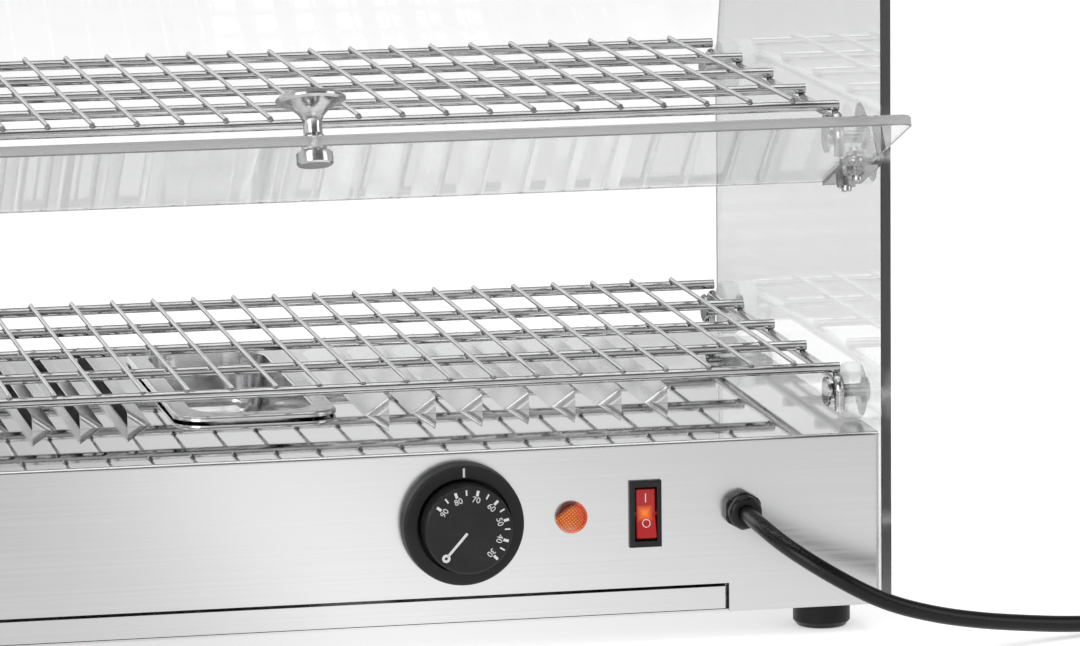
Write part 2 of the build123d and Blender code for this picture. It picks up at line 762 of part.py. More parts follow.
# Flaps: glass, knob, knob nut, hinge brackets, bolts and nuts
bolt_places = [(side * bolt_x, -reach) for side in (-1, 1) for reach in bolt_reaches]
bracket_low = flap_low - bracket_sheet
for pivot_height, flap_reach, level in zip(pivot_heights, flap_reaches, ("lower", "upper")):
    flap_length = flap_reach + flap_behind
    knob_reach = flap_reach - knob_inset
    knob_place = (0, -knob_reach)
    flap = Plane(origin=(0, pivot_y, pivot_height), x_dir=(1, 0, 0),
                 z_dir=(0, sin(flap_tilt), cos(flap_tilt)))

    with BuildPart() as flap_glass:
        with BuildSketch(flap.offset(flap_low)) as outline:
            with Locations((0, flap_behind - flap_length / 2)):
                Rectangle(2 * flap_half, flap_length)
            fillet(outline.vertices().group_by(Axis.Y)[0], flap_corner)
            with Locations(*bolt_places, knob_place):
                Circle(flap_hole, mode=Mode.SUBTRACT)
        extrude(amount=pane)
        for face in flap_glass.faces().sort_by(SortBy.AREA)[-2:]:
            chamfer(face.outer_wire().edges(), flap_arris)
    keep(flap_glass, f"{level}_flap_glass")

    # The knob is turned: foot, waisted neck, flared underside, thin edge and low crown
    knob_section = Plane(origin=flap.from_local_coords((0, -knob_reach, flap_top)), x_dir=(1, 0, 0),
                         z_dir=flap.y_dir * -1)
    stud_end = -pane - knob_stud_tail
    with BuildPart() as flap_knob:
        with BuildSketch(knob_section):
            with BuildLine():
                Polyline((0, stud_end), (knob_stud, stud_end), (knob_stud, 0), (knob_foot_radius, 0),
                         (knob_foot_radius, knob_foot), (knob_neck, knob_neck_low))
                Spline((knob_neck, knob_neck_low), (knob_waist, knob_waist_height),
                       (knob_flare, knob_flare_height), tangents=((0, 1), (1, 0.35)))
                Polyline((knob_flare, knob_flare_height), (knob_radius, knob_edge_low),
                         (knob_radius, knob_edge_high), (knob_flat, knob_top), (0, knob_crown), (0, stud_end))
            make_face()
        revolve(axis=Axis(knob_section.origin, flap.z_dir))
    keep(flap_knob, f"{level}_flap_knob")

    with BuildPart() as knob_nut:
        with BuildSketch(flap.offset(flap_low)):
            with Locations(knob_place):
                Circle(knob_nut_radius)
        extrude(amount=-knob_nut_height)
        chamfer(knob_nut.edges().filter_by(GeomType.CIRCLE), knob_nut_edge)
        with BuildSketch(flap.offset(flap_low)):
            with Locations(knob_place):
                Circle(knob_stud + clearance)
        extrude(amount=-knob_stud_tail - clearance, mode=Mode.SUBTRACT)
    keep(knob_nut, f"{level}_flap_knob_nut")

    ear_plane = Plane(origin=flap.from_local_coords((bracket_outer - bracket_sheet, 0, 0)),
                      x_dir=flap.y_dir, z_dir=(1, 0, 0))
    with BuildPart() as flap_brackets:
        with BuildSketch(flap.offset(bracket_low)):
            with Locations((bracket_inner, -bracket_near)):
                Rectangle(bracket_outer - bracket_inner, bracket_far - bracket_near,
                          align=(Align.MIN, Align.MAX))
            with Locations(*bolt_places):
                Circle(bolt_radius + clearance, mode=Mode.SUBTRACT)
        extrude(amount=bracket_sheet)
        with BuildSketch(ear_plane):
            Circle(ear_radius)
            with Locations((-bracket_near, bracket_low)):
                Rectangle(ear_far - bracket_near, bracket_sheet, align=(Align.MAX, Align.MIN))
            make_hull()
            Circle(pivot_radius + running_fit, mode=Mode.SUBTRACT)
        extrude(amount=bracket_sheet)
        mirror(about=Plane.YZ)
    keep(flap_brackets, f"{level}_flap_brackets")

    with BuildPart() as flap_bolts:
        with BuildSketch(flap.offset(flap_top)):
            with Locations(*bolt_places):
                Circle(bolt_head_radius)
        extrude(amount=bolt_head)
        rims = flap_bolts.edges().filter_by(GeomType.CIRCLE)
        fillet(rims.group_by(Axis(flap.origin, flap.z_dir))[-1], bolt_dome)
        with BuildSketch(flap.offset(flap_top)):
            with Locations(*bolt_places):
                Circle(bolt_radius)
        extrude(amount=bracket_low - bolt_tail - flap_top)
    keep(flap_bolts, f"{level}_flap_bolts")

    with BuildPart() as flap_nuts:
        with BuildSketch(flap.offset(bracket_low)):
            with Locations(*bolt_places):
                RegularPolygon(nut_flat, 6, major_radius=False)
                Circle(bolt_radius + clearance, mode=Mode.SUBTRACT)
        extrude(amount=-nut_height)
    keep(flap_nuts, f"{level}_flap_nuts")

# Thermostat ring, fixed to the panel
with BuildPart() as thermostat_ring:
    with BuildSketch(panel):
        with Locations((dial_x, 0)):
            Circle(ring_radius)
    extrude(amount=ring_height, taper=ring_draft)
    fillet(thermostat_ring.edges().group_by(Axis.Y)[0], ring_round)
    with BuildSketch(panel.offset(ring_floor)):
        with Locations((dial_x, 0)):
            Circle(dial_radius + dial_gap)
    extrude(amount=ring_height, mode=Mode.SUBTRACT)
    with BuildSketch(panel):
        with Locations((dial_x, 0)):
            Circle(shaft_hole)
    extrude(amount=ring_height, mode=Mode.SUBTRACT)
keep(thermostat_ring, "thermostat_ring")

# Thermostat dial with a grooved grip
grip_length = dial_front - grip_near - ring_height - grip_far
with BuildPart() as thermostat_dial:
    with BuildSketch(panel.offset(dial_back)):
        with Locations((dial_x, 0)):
            Circle(dial_radius)
    extrude(amount=dial_front - dial_back)
    fillet(thermostat_dial.edges().group_by(Axis.Y)[0], dial_round)
    with BuildSketch(panel.offset(ring_height + grip_far)):
        with Locations((dial_x, 0)):
            with PolarLocations(dial_radius + grip_offset, grip_count):
                Circle(grip_radius)
    extrude(amount=grip_length, mode=Mode.SUBTRACT)
    with BuildSketch(panel.offset(dial_back)):
        with Locations((dial_x, 0)):
            Circle(shaft_radius + running_fit)
    extrude(amount=shaft_in_dial + clearance, mode=Mode.SUBTRACT)
keep(thermostat_dial, "thermostat_dial")

# Thermostat shaft, from the body through the panel into the dial
with BuildPart() as thermostat_shaft:
    with BuildSketch(panel.offset(-sheet - shaft_in_body)):
        with Locations((dial_x, 0)):
            Circle(shaft_radius)
    extrude(amount=sheet + shaft_in_body + dial_back + shaft_in_dial)
keep(thermostat_shaft, "thermostat_shaft")

# Thermostat body behind the panel
with BuildPart() as thermostat_body:
    with BuildSketch(panel.offset(-sheet)):
        with Locations((dial_x, 0)):
            RectangleRounded(body_width, body_width, body_corner)
    extrude(amount=-body_depth)
    with BuildSketch(panel.offset(-sheet)):
        with Locations((dial_x, 0)):
            Circle(shaft_radius + running_fit)
    extrude(amount=-shaft_in_body - clearance, mode=Mode.SUBTRACT)
keep(thermostat_body, "thermostat_body")

# Capillary from the thermostat to its bulb, under the base top
body_back = base_front + sheet + body_depth
bulb_end = (dial_x - 36, body_back + 70, 84)
capillary = bar([(dial_x, body_back, 70), (dial_x, body_back + 16, 70), (dial_x - 20, body_back + 30, 78),
                 (dial_x - 36, body_back + 46, 84), bulb_end], capillary_radius, capillary_bend)
with BuildPart() as thermostat_bulb:
    add(capillary)
    with BuildSketch(Plane(origin=bulb_end, z_dir=(0, 1, 0))):
        Circle(bulb_radius)
    extrude(amount=bulb_length)
keep(thermostat_bulb, "thermostat_bulb")

# Indicator lamp: a lens on the panel, and the body behind it
with BuildPart() as indicator_lens:
    with BuildSketch(panel):
        with Locations((lamp_x, 0)):
            Circle(lamp_radius)
    extrude(amount=lamp_height)
    fillet(indicator_lens.edges().group_by(Axis.Y)[0], lamp_round)
keep(indicator_lens, "indicator_lens")

with BuildPart() as indicator_body:
    with BuildSketch(panel):
        with Locations((lamp_x, 0)):
            Circle(lamp_body_radius)
    extrude(amount=-lamp_body_depth)
keep(indicator_body, "indicator_body")

# Switch housing: a bezel and a body in one moulding, with sockets for the rocker's pins
rocker_frame = Plane(origin=panel.from_local_coords((switch_x, 0, 0)),
                     x_dir=(0, cos(rocker_angle), -sin(rocker_angle)), z_dir=(1, 0, 0))
with BuildPart() as switch_housing:
    with BuildSketch(panel):
        with Locations((switch_x, 0)):
            Rectangle(switch_width, switch_height)
    extrude(amount=switch_bezel)
    fillet(switch_housing.edges().group_by(Axis.Y)[0], switch_bezel_round)
    with BuildSketch(panel):
        with Locations((switch_x, 0)):
            Rectangle(switch_body_width, switch_body_height)
    extrude(amount=-switch_body_depth)
    with BuildSketch(panel.offset(switch_bezel)):
        with Locations((switch_x, 0)):
            Rectangle(rocker_width + 2 * well_gap, 2 * (rocker_half + well_gap))
    extrude(amount=-switch_bezel - well_depth, mode=Mode.SUBTRACT)
    with BuildSketch(rocker_frame):
        Circle(rocker_pin_radius + running_fit)
    extrude(amount=rocker_pin_half + clearance, both=True, mode=Mode.SUBTRACT)
keep(switch_housing, "switch_housing")

# Rocker with a shallow valley across its face and a pin at each side, its upper half pressed in
rocker_tip = rocker_valley - rocker_half * tan(rocker_angle) + rocker_edge
with BuildPart() as switch_rocker:
    with BuildSketch(rocker_frame):
        with BuildLine():
            Polyline((rocker_tip, rocker_half - 2 * rocker_edge), (rocker_valley, 0),
                     (rocker_tip, 2 * rocker_edge - rocker_half), (0, fit_gap - rocker_half),
                     (rocker_depth, -rocker_root), (rocker_depth, rocker_root),
                     (0, rocker_half - fit_gap), close=True)
        make_face()
    extrude(amount=rocker_width / 2, both=True)
    for face in switch_rocker.faces().filter_by(Axis.X):
        chamfer(face.edges(), rocker_edge)
    with BuildSketch(rocker_frame):
        Circle(rocker_pin_radius)
    extrude(amount=rocker_pin_half, both=True)
keep(switch_rocker, "switch_rocker")

# Cable gland: hexagon, rounded collar and a thread through the panel, bored for the cord
with BuildPart() as cable_gland:
    with BuildSketch(panel):
        with Locations((gland_x, 0)):
            RegularPolygon(gland_flat, 6, rotation=gland_turn, major_radius=False)
            Circle(gland_corner, mode=Mode.INTERSECT)
    extrude(amount=gland_hex)
    chamfer(cable_gland.edges().group_by(Axis.Y)[0], gland_hex_edge)
    with BuildSketch(panel):
        with Locations((gland_x, 0)):
            Circle(gland_collar_radius)
    extrude(amount=gland_front)
    fillet(cable_gland.edges().group_by(Axis.Y)[0], gland_round)
    with BuildSketch(panel):
        with Locations((gland_x, 0)):
            Circle(gland_thread)
    extrude(amount=-gland_back)
    with BuildSketch(panel.offset(gland_front)):
        with Locations((gland_x, 0)):
            Circle(cord_radius + clearance)
    extrude(amount=-gland_front - gland_back, mode=Mode.SUBTRACT)
keep(cable_gland, "cable_gland")

with BuildPart() as gland_nut:
    with BuildSketch(panel.offset(-sheet)):
        with Locations((gland_x, 0)):
            RegularPolygon(gland_nut_flat, 6, major_radius=False)
            Circle(gland_thread + clearance, mode=Mode.SUBTRACT)
    extrude(amount=-gland_nut_height)
keep(gland_nut, "gland_nut")

# Mains cord, from inside the gland down to the worktop and into the coil
cord_route = [(gland_x, -123, controls_height), (gland_x, -149, 62.2), (226, -173, 54.2), (245.5, -187, 41.6),
              (269.5, -188.5, 28.2), (295.2, -183.8, 19.8), (320.5, -176, 14), (345.5, -166.6, 9.6),
              (370, -157.4, 5.9), (395, -151, 4.2), (420, -148.6, 4.6), (442, -148, 5.2),
              (coil_x, coil_y - coil_turn, cord_enters)]
cord_radii = cord_bends(cord_route)
print("cord bends", [round(bend) for bend in cord_radii])
cord_tube = bar(cord_route, cord_radius, cord_radii)
with BuildPart() as mains_cord:
    add(cord_tube)
keep(mains_cord, "mains_cord")

# Coil of the cord's spare length: three turns wide and two high
coil_width = coil_outer - coil_inner
coil_depth = coil_high - coil_low
bundle_place = ((coil_inner + coil_outer) / 2, (coil_low + coil_high) / 2)
with BuildPart() as cord_coil:
    with BuildSketch(Plane(origin=(coil_x, coil_y, 0), x_dir=(-1, 0, 0), z_dir=(0, 1, 0))):
        with Locations(bundle_place):
            RectangleRounded(coil_width, coil_depth, coil_round)
    revolve(axis=Axis((coil_x, coil_y, 0), (0, 0, 1)))
keep(cord_coil, "cord_coil")

# Tie around the coil
tie_inside = 2 * tie_gap
tie_outside = 2 * (tie_gap + tie_sheet)
with BuildPart() as cord_tie:
    with BuildSketch(Plane(origin=(coil_x, coil_y, 0), x_dir=(-1, 0, 0), z_dir=(0, 1, 0))):
        with Locations(bundle_place):
            RectangleRounded(coil_width + tie_outside, coil_depth + tie_outside, coil_round + tie_outside / 2)
            RectangleRounded(coil_width + tie_inside, coil_depth + tie_inside, coil_round + tie_inside / 2,
                             mode=Mode.SUBTRACT)
    extrude(amount=tie_width / 2, both=True)
keep(cord_tie, "cord_tie")

# Tail of the cord, from the coil into the plug
tail_route = [(plug_x, coil_y + 4, cord_leaves), (plug_x + 0.8, coil_y + 29, 13.9),
              (plug_x + 0.8, coil_y + 54, 14.4), (plug_x, coil_y + 76, plug_height),
              (plug_x, plug_back + plug_socket, plug_height)]
tail_radii = cord_bends(tail_route)
print("tail bends", [round(bend) for bend in tail_radii])
tail_tube = bar(tail_route, cord_radius, tail_radii)
with BuildPart() as cord_tail:
    add(tail_tube)
keep(cord_tail, "cord_tail")

# Plug: a plain two-pin plug lying on the worktop
plug_plane = Plane(origin=(plug_x, plug_back, plug_height), x_dir=(1, 0, 0), z_dir=(0, 1, 0))
with BuildPart() as plug_body:
    with BuildSketch(plug_plane):
        Circle(plug_neck_radius)
    with BuildSketch(plug_plane.offset(plug_waist_place)):
        RectangleRounded(*plug_waist)
    with BuildSketch(plug_plane.offset(plug_length)):
        RectangleRounded(*plug_face)
    loft()
    with BuildSketch(plug_plane):
        Circle(cord_radius + clearance)
    extrude(amount=plug_socket + clearance, mode=Mode.SUBTRACT)
keep(plug_body, "plug_body")

with BuildPart() as plug_pins:
    with BuildSketch(plug_plane.offset(plug_length)):
        with GridLocations(pin_spacing, 0, 2, 1):
            Circle(pin_radius)
    extrude(amount=pin_length)
    fillet(plug_pins.edges().group_by(Axis.Y)[-1], pin_round)
keep(plug_pins, "plug_pins")

# Heating elements: a hairpin on each side of the pan
inner_leg, outer_leg = heater_legs
heater_near, heater_far = heater_ends
hairpin = bar([(inner_leg, heater_near, heater_height), (inner_leg, heater_far, heater_height),
               (outer_leg, heater_far, heater_height), (outer_leg, heater_near, heater_height)],
              heater_radius, heater_bend)
with BuildPart() as heating_elements:
    add(hairpin)
    mirror(about=Plane.YZ)
keep(heating_elements, "heating_elements")

# Hangers that carry the elements from the base top
hanger_width = outer_leg - inner_leg + 2 * hanger_margin
hanger_top = base_high - sheet
with BuildPart() as heater_hangers:
    for row in hanger_rows:
        with BuildSketch(Plane.XZ.offset(-row)):
            with Locations(((inner_leg + outer_leg) / 2, hanger_top)):
                Rectangle(hanger_width, hanger_top - heater_height + hanger_drop,
                          align=(Align.CENTER, Align.MAX))
            with Locations((inner_leg, heater_height), (outer_leg, heater_height)):
                Circle(heater_radius + clearance, mode=Mode.SUBTRACT)
        extrude(amount=-hanger_sheet)
    mirror(about=Plane.YZ)
keep(heater_hangers, "heater_hangers")

# Terminal block on the floor beside the tray
block_top = floor_top + block_size[2]
with BuildPart() as terminal_block:
    with Locations((block_x, block_y, floor_top)):
        Box(*block_size, align=(Align.CENTER, Align.CENTER, Align.MIN))
    with Locations(*[(block_x, block_y + place, block_top) for place in block_holes]):
        Cylinder(block_hole_radius, block_hole_depth, align=(Align.CENTER, Align.CENTER, Align.MAX),
                 mode=Mode.SUBTRACT)
keep(terminal_block, "terminal_block")

# Wires: cord to block, switch to block, switch to thermostat, block to element, and across the elements
gland_end = base_front + gland_back
switch_back = base_front + switch_body_depth
lead_end = block_top - block_hole_depth / 2
first_hole, second_hole, third_hole, fourth_hole = [block_y + place for place in block_holes]
lead_routes = [
    [(gland_x, gland_end, controls_height), (gland_x, -95, controls_height), (block_x, first_hole, 62),
     (block_x, first_hole, lead_end)],
    [(switch_x + 3, switch_back, 66), (switch_x + 3, -82, 66), (block_x, second_hole, 70),
     (block_x, second_hole, lead_end)],
    [(switch_x - 3, switch_back, 58), (switch_x - 3, -84, 58), (dial_x + 8, -80, 58),
     (dial_x + 8, body_back, 58)],
    [(outer_leg, heater_near, heater_height), (outer_leg, -76, heater_height), (block_x, third_hole, 46),
     (block_x, third_hole, lead_end)],
    [(inner_leg, heater_near, heater_height), (inner_leg, -78, heater_height),
     (-inner_leg, -78, heater_height), (-inner_leg, heater_near, heater_height)],
]
leads = [bar(route, lead_radius, lead_bend) for route in lead_routes]
with BuildPart() as wiring_loom:
    add(leads)
keep(wiring_loom, "wiring_loom")
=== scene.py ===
import math

import bpy
import numpy as np
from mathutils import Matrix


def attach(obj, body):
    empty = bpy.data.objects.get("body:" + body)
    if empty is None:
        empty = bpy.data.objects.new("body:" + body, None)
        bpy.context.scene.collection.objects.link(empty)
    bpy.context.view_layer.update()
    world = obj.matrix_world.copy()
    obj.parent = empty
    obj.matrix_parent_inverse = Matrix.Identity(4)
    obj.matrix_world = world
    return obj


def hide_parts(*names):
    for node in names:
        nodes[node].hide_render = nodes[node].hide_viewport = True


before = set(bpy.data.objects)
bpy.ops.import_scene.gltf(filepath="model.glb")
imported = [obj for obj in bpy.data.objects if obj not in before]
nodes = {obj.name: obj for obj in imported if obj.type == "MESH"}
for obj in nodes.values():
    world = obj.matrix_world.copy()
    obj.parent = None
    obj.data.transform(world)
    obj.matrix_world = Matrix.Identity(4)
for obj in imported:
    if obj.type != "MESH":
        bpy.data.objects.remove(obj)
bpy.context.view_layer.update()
scene = bpy.context.scene
scene.view_settings.view_transform = "Standard"
print("frame loaded,", len(nodes), "nodes")


# camera, where the picture was taken from
cameraValues = {
    "place": (-0.44034, -2.96462, 0.61905),
    "turn": (80.9213, 0.6247, -11.2682),  # degrees
    "lens": 208.117,
    "sensor": 36.0,
    "reach": 100.0,
}
cameraData = bpy.data.cameras.new("camera")
cameraData.lens = cameraValues["lens"]
cameraData.sensor_width = cameraValues["sensor"]
cameraData.clip_end = cameraValues["reach"]
camera = bpy.data.objects.new("camera", cameraData)
camera.location = cameraValues["place"]
camera.rotation_euler = [math.radians(angle) for angle in cameraValues["turn"]]
scene.collection.objects.link(camera)
scene.camera = camera
print("camera placed")


# small helpers for shader nodes; a mix node's entries are 0 for the share, 2 and 3 for values, 6 and 7 for colours
def put(tree, kind, values=None, **settings):
    node = tree.nodes.new(kind)
    for name, value in settings.items():
        setattr(node, name, value)
    for name, value in (values or {}).items():
        node.inputs[name].default_value = value
    return node


def join(tree, source, output, target, entry):
    tree.links.new(source.outputs[output], target.inputs[entry])


def effectGroup(name, inputs, outputs):
    tree = bpy.data.node_groups.new(name, "ShaderNodeTree")
    for label, kind in inputs:
        tree.interface.new_socket(label, in_out="INPUT", socket_type=kind)
    for label in outputs:
        tree.interface.new_socket(label, in_out="OUTPUT", socket_type="NodeSocketFloat")
    return tree, tree.nodes.new("NodeGroupInput"), tree.nodes.new("NodeGroupOutput")


def placeGroup(tree, group, values=None):
    node = tree.nodes.new("ShaderNodeGroup")
    node.node_tree = group
    for name, value in (values or {}).items():
        node.inputs[name].default_value = value
    return node


# drawn lines: noise pulled long one way, and a soft cloud over it
grainGroup, groupIn, groupOut = effectGroup(
    "drawnGrain", [("Stretch", "NodeSocketVector")], ["Lines", "Cloud"])
place = put(grainGroup, "ShaderNodeTexCoord")
pulled = put(grainGroup, "ShaderNodeVectorMath", operation="MULTIPLY")
lines = put(grainGroup, "ShaderNodeTexNoise", {"Scale": 1.0, "Detail": 3.0, "Roughness": 0.65})
cloud = put(grainGroup, "ShaderNodeTexNoise", {"Scale": 7.0, "Detail": 3.0})
join(grainGroup, place, "Object", pulled, 0)
join(grainGroup, groupIn, "Stretch", pulled, 1)
join(grainGroup, pulled, 0, lines, "Vector")
join(grainGroup, place, "Object", cloud, "Vector")
join(grainGroup, lines, 0, groupOut, "Lines")
join(grainGroup, cloud, 0, groupOut, "Cloud")

# spark-eroded mould texture: fine pits, and dust that settles in patches
mouldGroup, groupIn, groupOut = effectGroup(
    "mouldGrain", [("Fineness", "NodeSocketFloat")], ["Grain", "Dust"])
place = put(mouldGroup, "ShaderNodeTexCoord")
pits = put(mouldGroup, "ShaderNodeTexNoise", {"Detail": 2.0})
dust = put(mouldGroup, "ShaderNodeTexNoise", {"Scale": 60.0, "Detail": 5.0, "Roughness": 0.7})
join(mouldGroup, place, "Object", pits, "Vector")
join(mouldGroup, groupIn, "Fineness", pits, "Scale")
join(mouldGroup, place, "Object", dust, "Vector")
join(mouldGroup, pits, 0, groupOut, "Grain")
join(mouldGroup, dust, 0, groupOut, "Dust")

# how squarely a face looks along a direction: 1 with it, 0 across it
facingGroup, groupIn, groupOut = effectGroup(
    "faceSide", [("Direction", "NodeSocketVector")], ["Facing", "Either"])
place = put(facingGroup, "ShaderNodeTexCoord")
dot = put(facingGroup, "ShaderNodeVectorMath", operation="DOT_PRODUCT")
either = put(facingGroup, "ShaderNodeMath", operation="ABSOLUTE")
join(facingGroup, place, "Normal", dot, 0)
join(facingGroup, groupIn, "Direction", dot, 1)
join(facingGroup, dot, "Value", either, 0)
join(facingGroup, dot, "Value", groupOut, "Facing")
join(facingGroup, either, 0, groupOut, "Either")
print("shader groups made")


def newMaterial(name):
    made = bpy.data.materials.new(name)
    made.use_nodes = True
    return made, made.node_tree, made.node_tree.nodes["Principled BSDF"]


def ramp(tree, source, output, low, high, start=0.3, end=0.7):
    node = put(tree, "ShaderNodeValToRGB")
    node.color_ramp.elements[0].position = start
    node.color_ramp.elements[1].position = end
    node.color_ramp.elements[0].color = (*low, 1.0)
    node.color_ramp.elements[1].color = (*high, 1.0)
    join(tree, source, output, node, 0)
    return node


def between(tree, source, output, low, high, start=0.3, end=0.7):
    node = put(tree, "ShaderNodeMapRange",
               {"From Min": start, "From Max": end, "To Min": low, "To Max": high})
    join(tree, source, output, node, 0)
    return node


def bump(tree, source, output, shader, strength):
    node = put(tree, "ShaderNodeBump", {"Strength": strength, "Distance": finishValues["bumpDepth"]})
    join(tree, source, output, node, "Height")
    join(tree, node, 0, shader, "Normal")


# a grey ramp with a stop for each position and value
def brightness(tree, source, output, stops):
    node = put(tree, "ShaderNodeValToRGB")
    elements = node.color_ramp.elements
    for spare in range(len(stops) - 2):
        elements.new(0.5)
    for element, (position, value) in zip(elements, stops):
        element.position = position
        element.color = (value, value, value, 1.0)
    join(tree, source, output, node, 0)
    return node


# 1 for a path that has met a mirror on its way, also through glass
def metMirror(tree, rays):
    node = put(tree, "ShaderNodeMath", {1: 0.5}, operation="GREATER_THAN")
    join(tree, rays, "Glossy Depth", node, 0)
    return node


# shared by the metals and plastics
finishValues = {
    "bumpDepth": 0.0001,
    "upward": (0.9, 0.97),  # where a face starts to count as looking up, and where it does in full
    "dusty": (0.35, 0.8),  # the same for patches of dust
}


# sheet and bar metal: grain lines change tint and gloss, and faces that look up can have a gloss of their own
def metal(name, values):
    made, tree, shader = newMaterial(name)
    shader.inputs["Metallic"].default_value = 1.0
    grain = placeGroup(tree, grainGroup, {"Stretch": values["stretch"]})
    tint = ramp(tree, grain, "Lines", values["dark"], values["light"])
    join(tree, tint, 0, shader, "Base Color")
    gloss = between(tree, grain, "Lines", *values["rough"])
    if "topRough" in values:
        side = placeGroup(tree, facingGroup, {"Direction": (0.0, 0.0, 1.0)})
        top = between(tree, grain, "Cloud", *values["topRough"])
        upward = between(tree, side, "Facing", 0.0, 1.0, *finishValues["upward"])
        blend = put(tree, "ShaderNodeMix", data_type="FLOAT")
        join(tree, upward, 0, blend, 0)
        join(tree, gloss, 0, blend, 2)
        join(tree, top, 0, blend, 3)
        gloss = blend
    join(tree, gloss, 0, shader, "Roughness")
    bump(tree, grain, "Lines", shader, values["bump"])
    return made


# gloss that follows a mould's fine pits
def mouldGloss(tree, shader, values):
    grain = placeGroup(tree, mouldGroup, {"Fineness": values["fineness"]})
    gloss = between(tree, grain, "Grain", *values["rough"])
    join(tree, gloss, 0, shader, "Roughness")
    return grain


# moulded plastic and rubber: fine pits, with dust in pale patches
def moulded(name, values):
    made, tree, shader = newMaterial(name)
    grain = mouldGloss(tree, shader, values)
    tint = ramp(tree, grain, "Dust", values["dark"], values["light"], *finishValues["dusty"])
    join(tree, tint, 0, shader, "Base Color")
    bump(tree, grain, "Grain", shader, values["bump"])
    shader.inputs["Specular IOR Level"].default_value = values.get("specular", 0.5)
    return made


# clear sheet: ground edges are rougher than the faces and tinted, some with painted reflections in bands along them,
# and a painted glow can stand in for light they scatter; shadows pass through
def glass(name, values):
    made, tree, shader = newMaterial(name)
    shader.inputs["Transmission Weight"].default_value = 1.0
    shader.inputs["IOR"].default_value = values["bending"]
    side = placeGroup(tree, facingGroup, {"Direction": values["faces"]})
    grain = placeGroup(tree, mouldGroup)
    # edge tint in bands along the height: painted reflections of nearby parts
    if "paintedEdgeReflections" in values:
        low, high = values["edgeRange"]
        where = put(tree, "ShaderNodeTexCoord")
        split = put(tree, "ShaderNodeSeparateXYZ")
        climb = put(tree, "ShaderNodeMapRange", {"From Min": low, "From Max": high})
        join(tree, where, "Object", split, 0)
        join(tree, split, "Z", climb, 0)
        bands = brightness(tree, climb, 0, values["paintedEdgeReflections"])
        facing = between(tree, side, "Either", 0.0, 1.0, *values["edgeEnds"])
        tint = put(tree, "ShaderNodeMix", {7: (*values["face"], 1.0)}, data_type="RGBA")
        join(tree, facing, 0, tint, 0)
        join(tree, bands, 0, tint, 6)
        join(tree, tint, 2, shader, "Base Color")
    else:
        tint = ramp(tree, side, "Either", values["edge"], values["face"], *values["edgeEnds"])
        join(tree, tint, 0, shader, "Base Color")
    # painted glow: emission on the glass stands in for light its edges scatter
    if "paintedEdgeGlow" in values:
        glow = brightness(tree, side, "Either", values["paintedEdgeGlow"])
        join(tree, glow, 0, shader, "Emission Color")
        shader.inputs["Emission Strength"].default_value = 1.0
    edge = between(tree, side, "Either", values["edgeRough"], 0.0, *values["edgeEnds"])
    smear = between(tree, grain, "Dust", 0.0, values["smear"], *values["smeared"])
    gloss = put(tree, "ShaderNodeMath", operation="ADD")
    join(tree, edge, 0, gloss, 0)
    join(tree, smear, 0, gloss, 1)
    join(tree, gloss, 0, shader, "Roughness")
    rays = put(tree, "ShaderNodeLightPath")
    passing = put(tree, "ShaderNodeMath", operation="MAXIMUM")
    through = put(tree, "ShaderNodeBsdfTransparent", {"Color": (*values["shadow"], 1.0)})
    mix = put(tree, "ShaderNodeMixShader")
    join(tree, rays, "Is Shadow Ray", passing, 0)
    join(tree, rays, "Is Diffuse Ray", passing, 1)
    join(tree, passing, 0, mix, 0)
    join(tree, shader, 0, mix, 1)
    join(tree, through, 0, mix, 2)
    join(tree, mix, 0, tree.nodes["Material Output"], "Surface")
    depth = put(tree, "ShaderNodeVolumeAbsorption",
                {"Color": (*values["depthTint"], 1.0), "Density": values["depth"]})
    join(tree, depth, 0, tree.nodes["Material Output"], "Volume")
    return made


def dress(made, *names):
    for name in names:
        slots = nodes[name].data.materials
        slots.clear()
        slots.append(made)


# base: folded sheet, brushed along the case; the top is polished
sheetValues = {
    "stretch": (4.0, 700.0, 700.0),
    "dark": (0.70, 0.70, 0.703),
    "light": (0.74, 0.74, 0.742),
    "rough": (0.20, 0.25),
    "topRough": (0.015, 0.035),
    "bump": 0.02,
}
dress(metal("brushedSheet", sheetValues), "base_housing")
trayValues = dict(sheetValues, topRough=(0.24, 0.32))
dress(metal("brushedTray", trayValues), "crumb_tray")
plateValues = dict(sheetValues, stretch=(500.0, 4.0, 500.0), topRough=(0.25, 0.35))
dress(metal("brushedPlate", plateValues), "base_sides", "base_floor", "tray_guides", "heater_hangers")
print("base dressed")

# water pan, screws, caps and hinges: drawn and polished
panValues = {
    "stretch": (120.0, 120.0, 120.0),
    "dark": (0.62, 0.62, 0.625),
    "light": (0.70, 0.70, 0.705),
    "rough": (0.12, 0.2),
    "bump": 0.03,
}
dress(metal("drawnSteel", panValues), "water_pan")
fastenerValues = {
    "stretch": (900.0, 900.0, 900.0),
    "dark": (0.50, 0.50, 0.51),
    "light": (0.66, 0.66, 0.67),
    "rough": (0.14, 0.26),
    "bump": 0.05,
}
dress(metal("fastenerSteel", fastenerValues), "floor_screws", "foot_screws", "glass_screws", "thermostat_shaft")
capValues = dict(fastenerValues, dark=(0.80, 0.80, 0.81), light=(0.90, 0.90, 0.91), rough=(0.42, 0.55))
dress(metal("satinCap", capValues), "stud_caps")
hingeValues = dict(fastenerValues, dark=(0.42, 0.42, 0.425), light=(0.70, 0.70, 0.705), rough=(0.08, 0.16))
dress(metal("hingeSteel", hingeValues), "pivot_bolts", "pivot_nuts", "lower_flap_bolts", "upper_flap_bolts",
      "lower_flap_nuts", "upper_flap_nuts", "lower_flap_brackets", "upper_flap_brackets")

# wire shelves and studs: bright drawn wire
wireValues = {
    "stretch": (60.0, 60.0, 900.0),
    "dark": (0.44, 0.44, 0.445),
    "light": (0.66, 0.66, 0.665),
    "rough": (0.04, 0.10),
    "bump": 0.03,
}
dress(metal("brightWire", wireValues), "lower_shelf_grid", "upper_shelf_grid", "lower_shelf_bars",
      "upper_shelf_bars", "shelf_studs", "plug_pins")

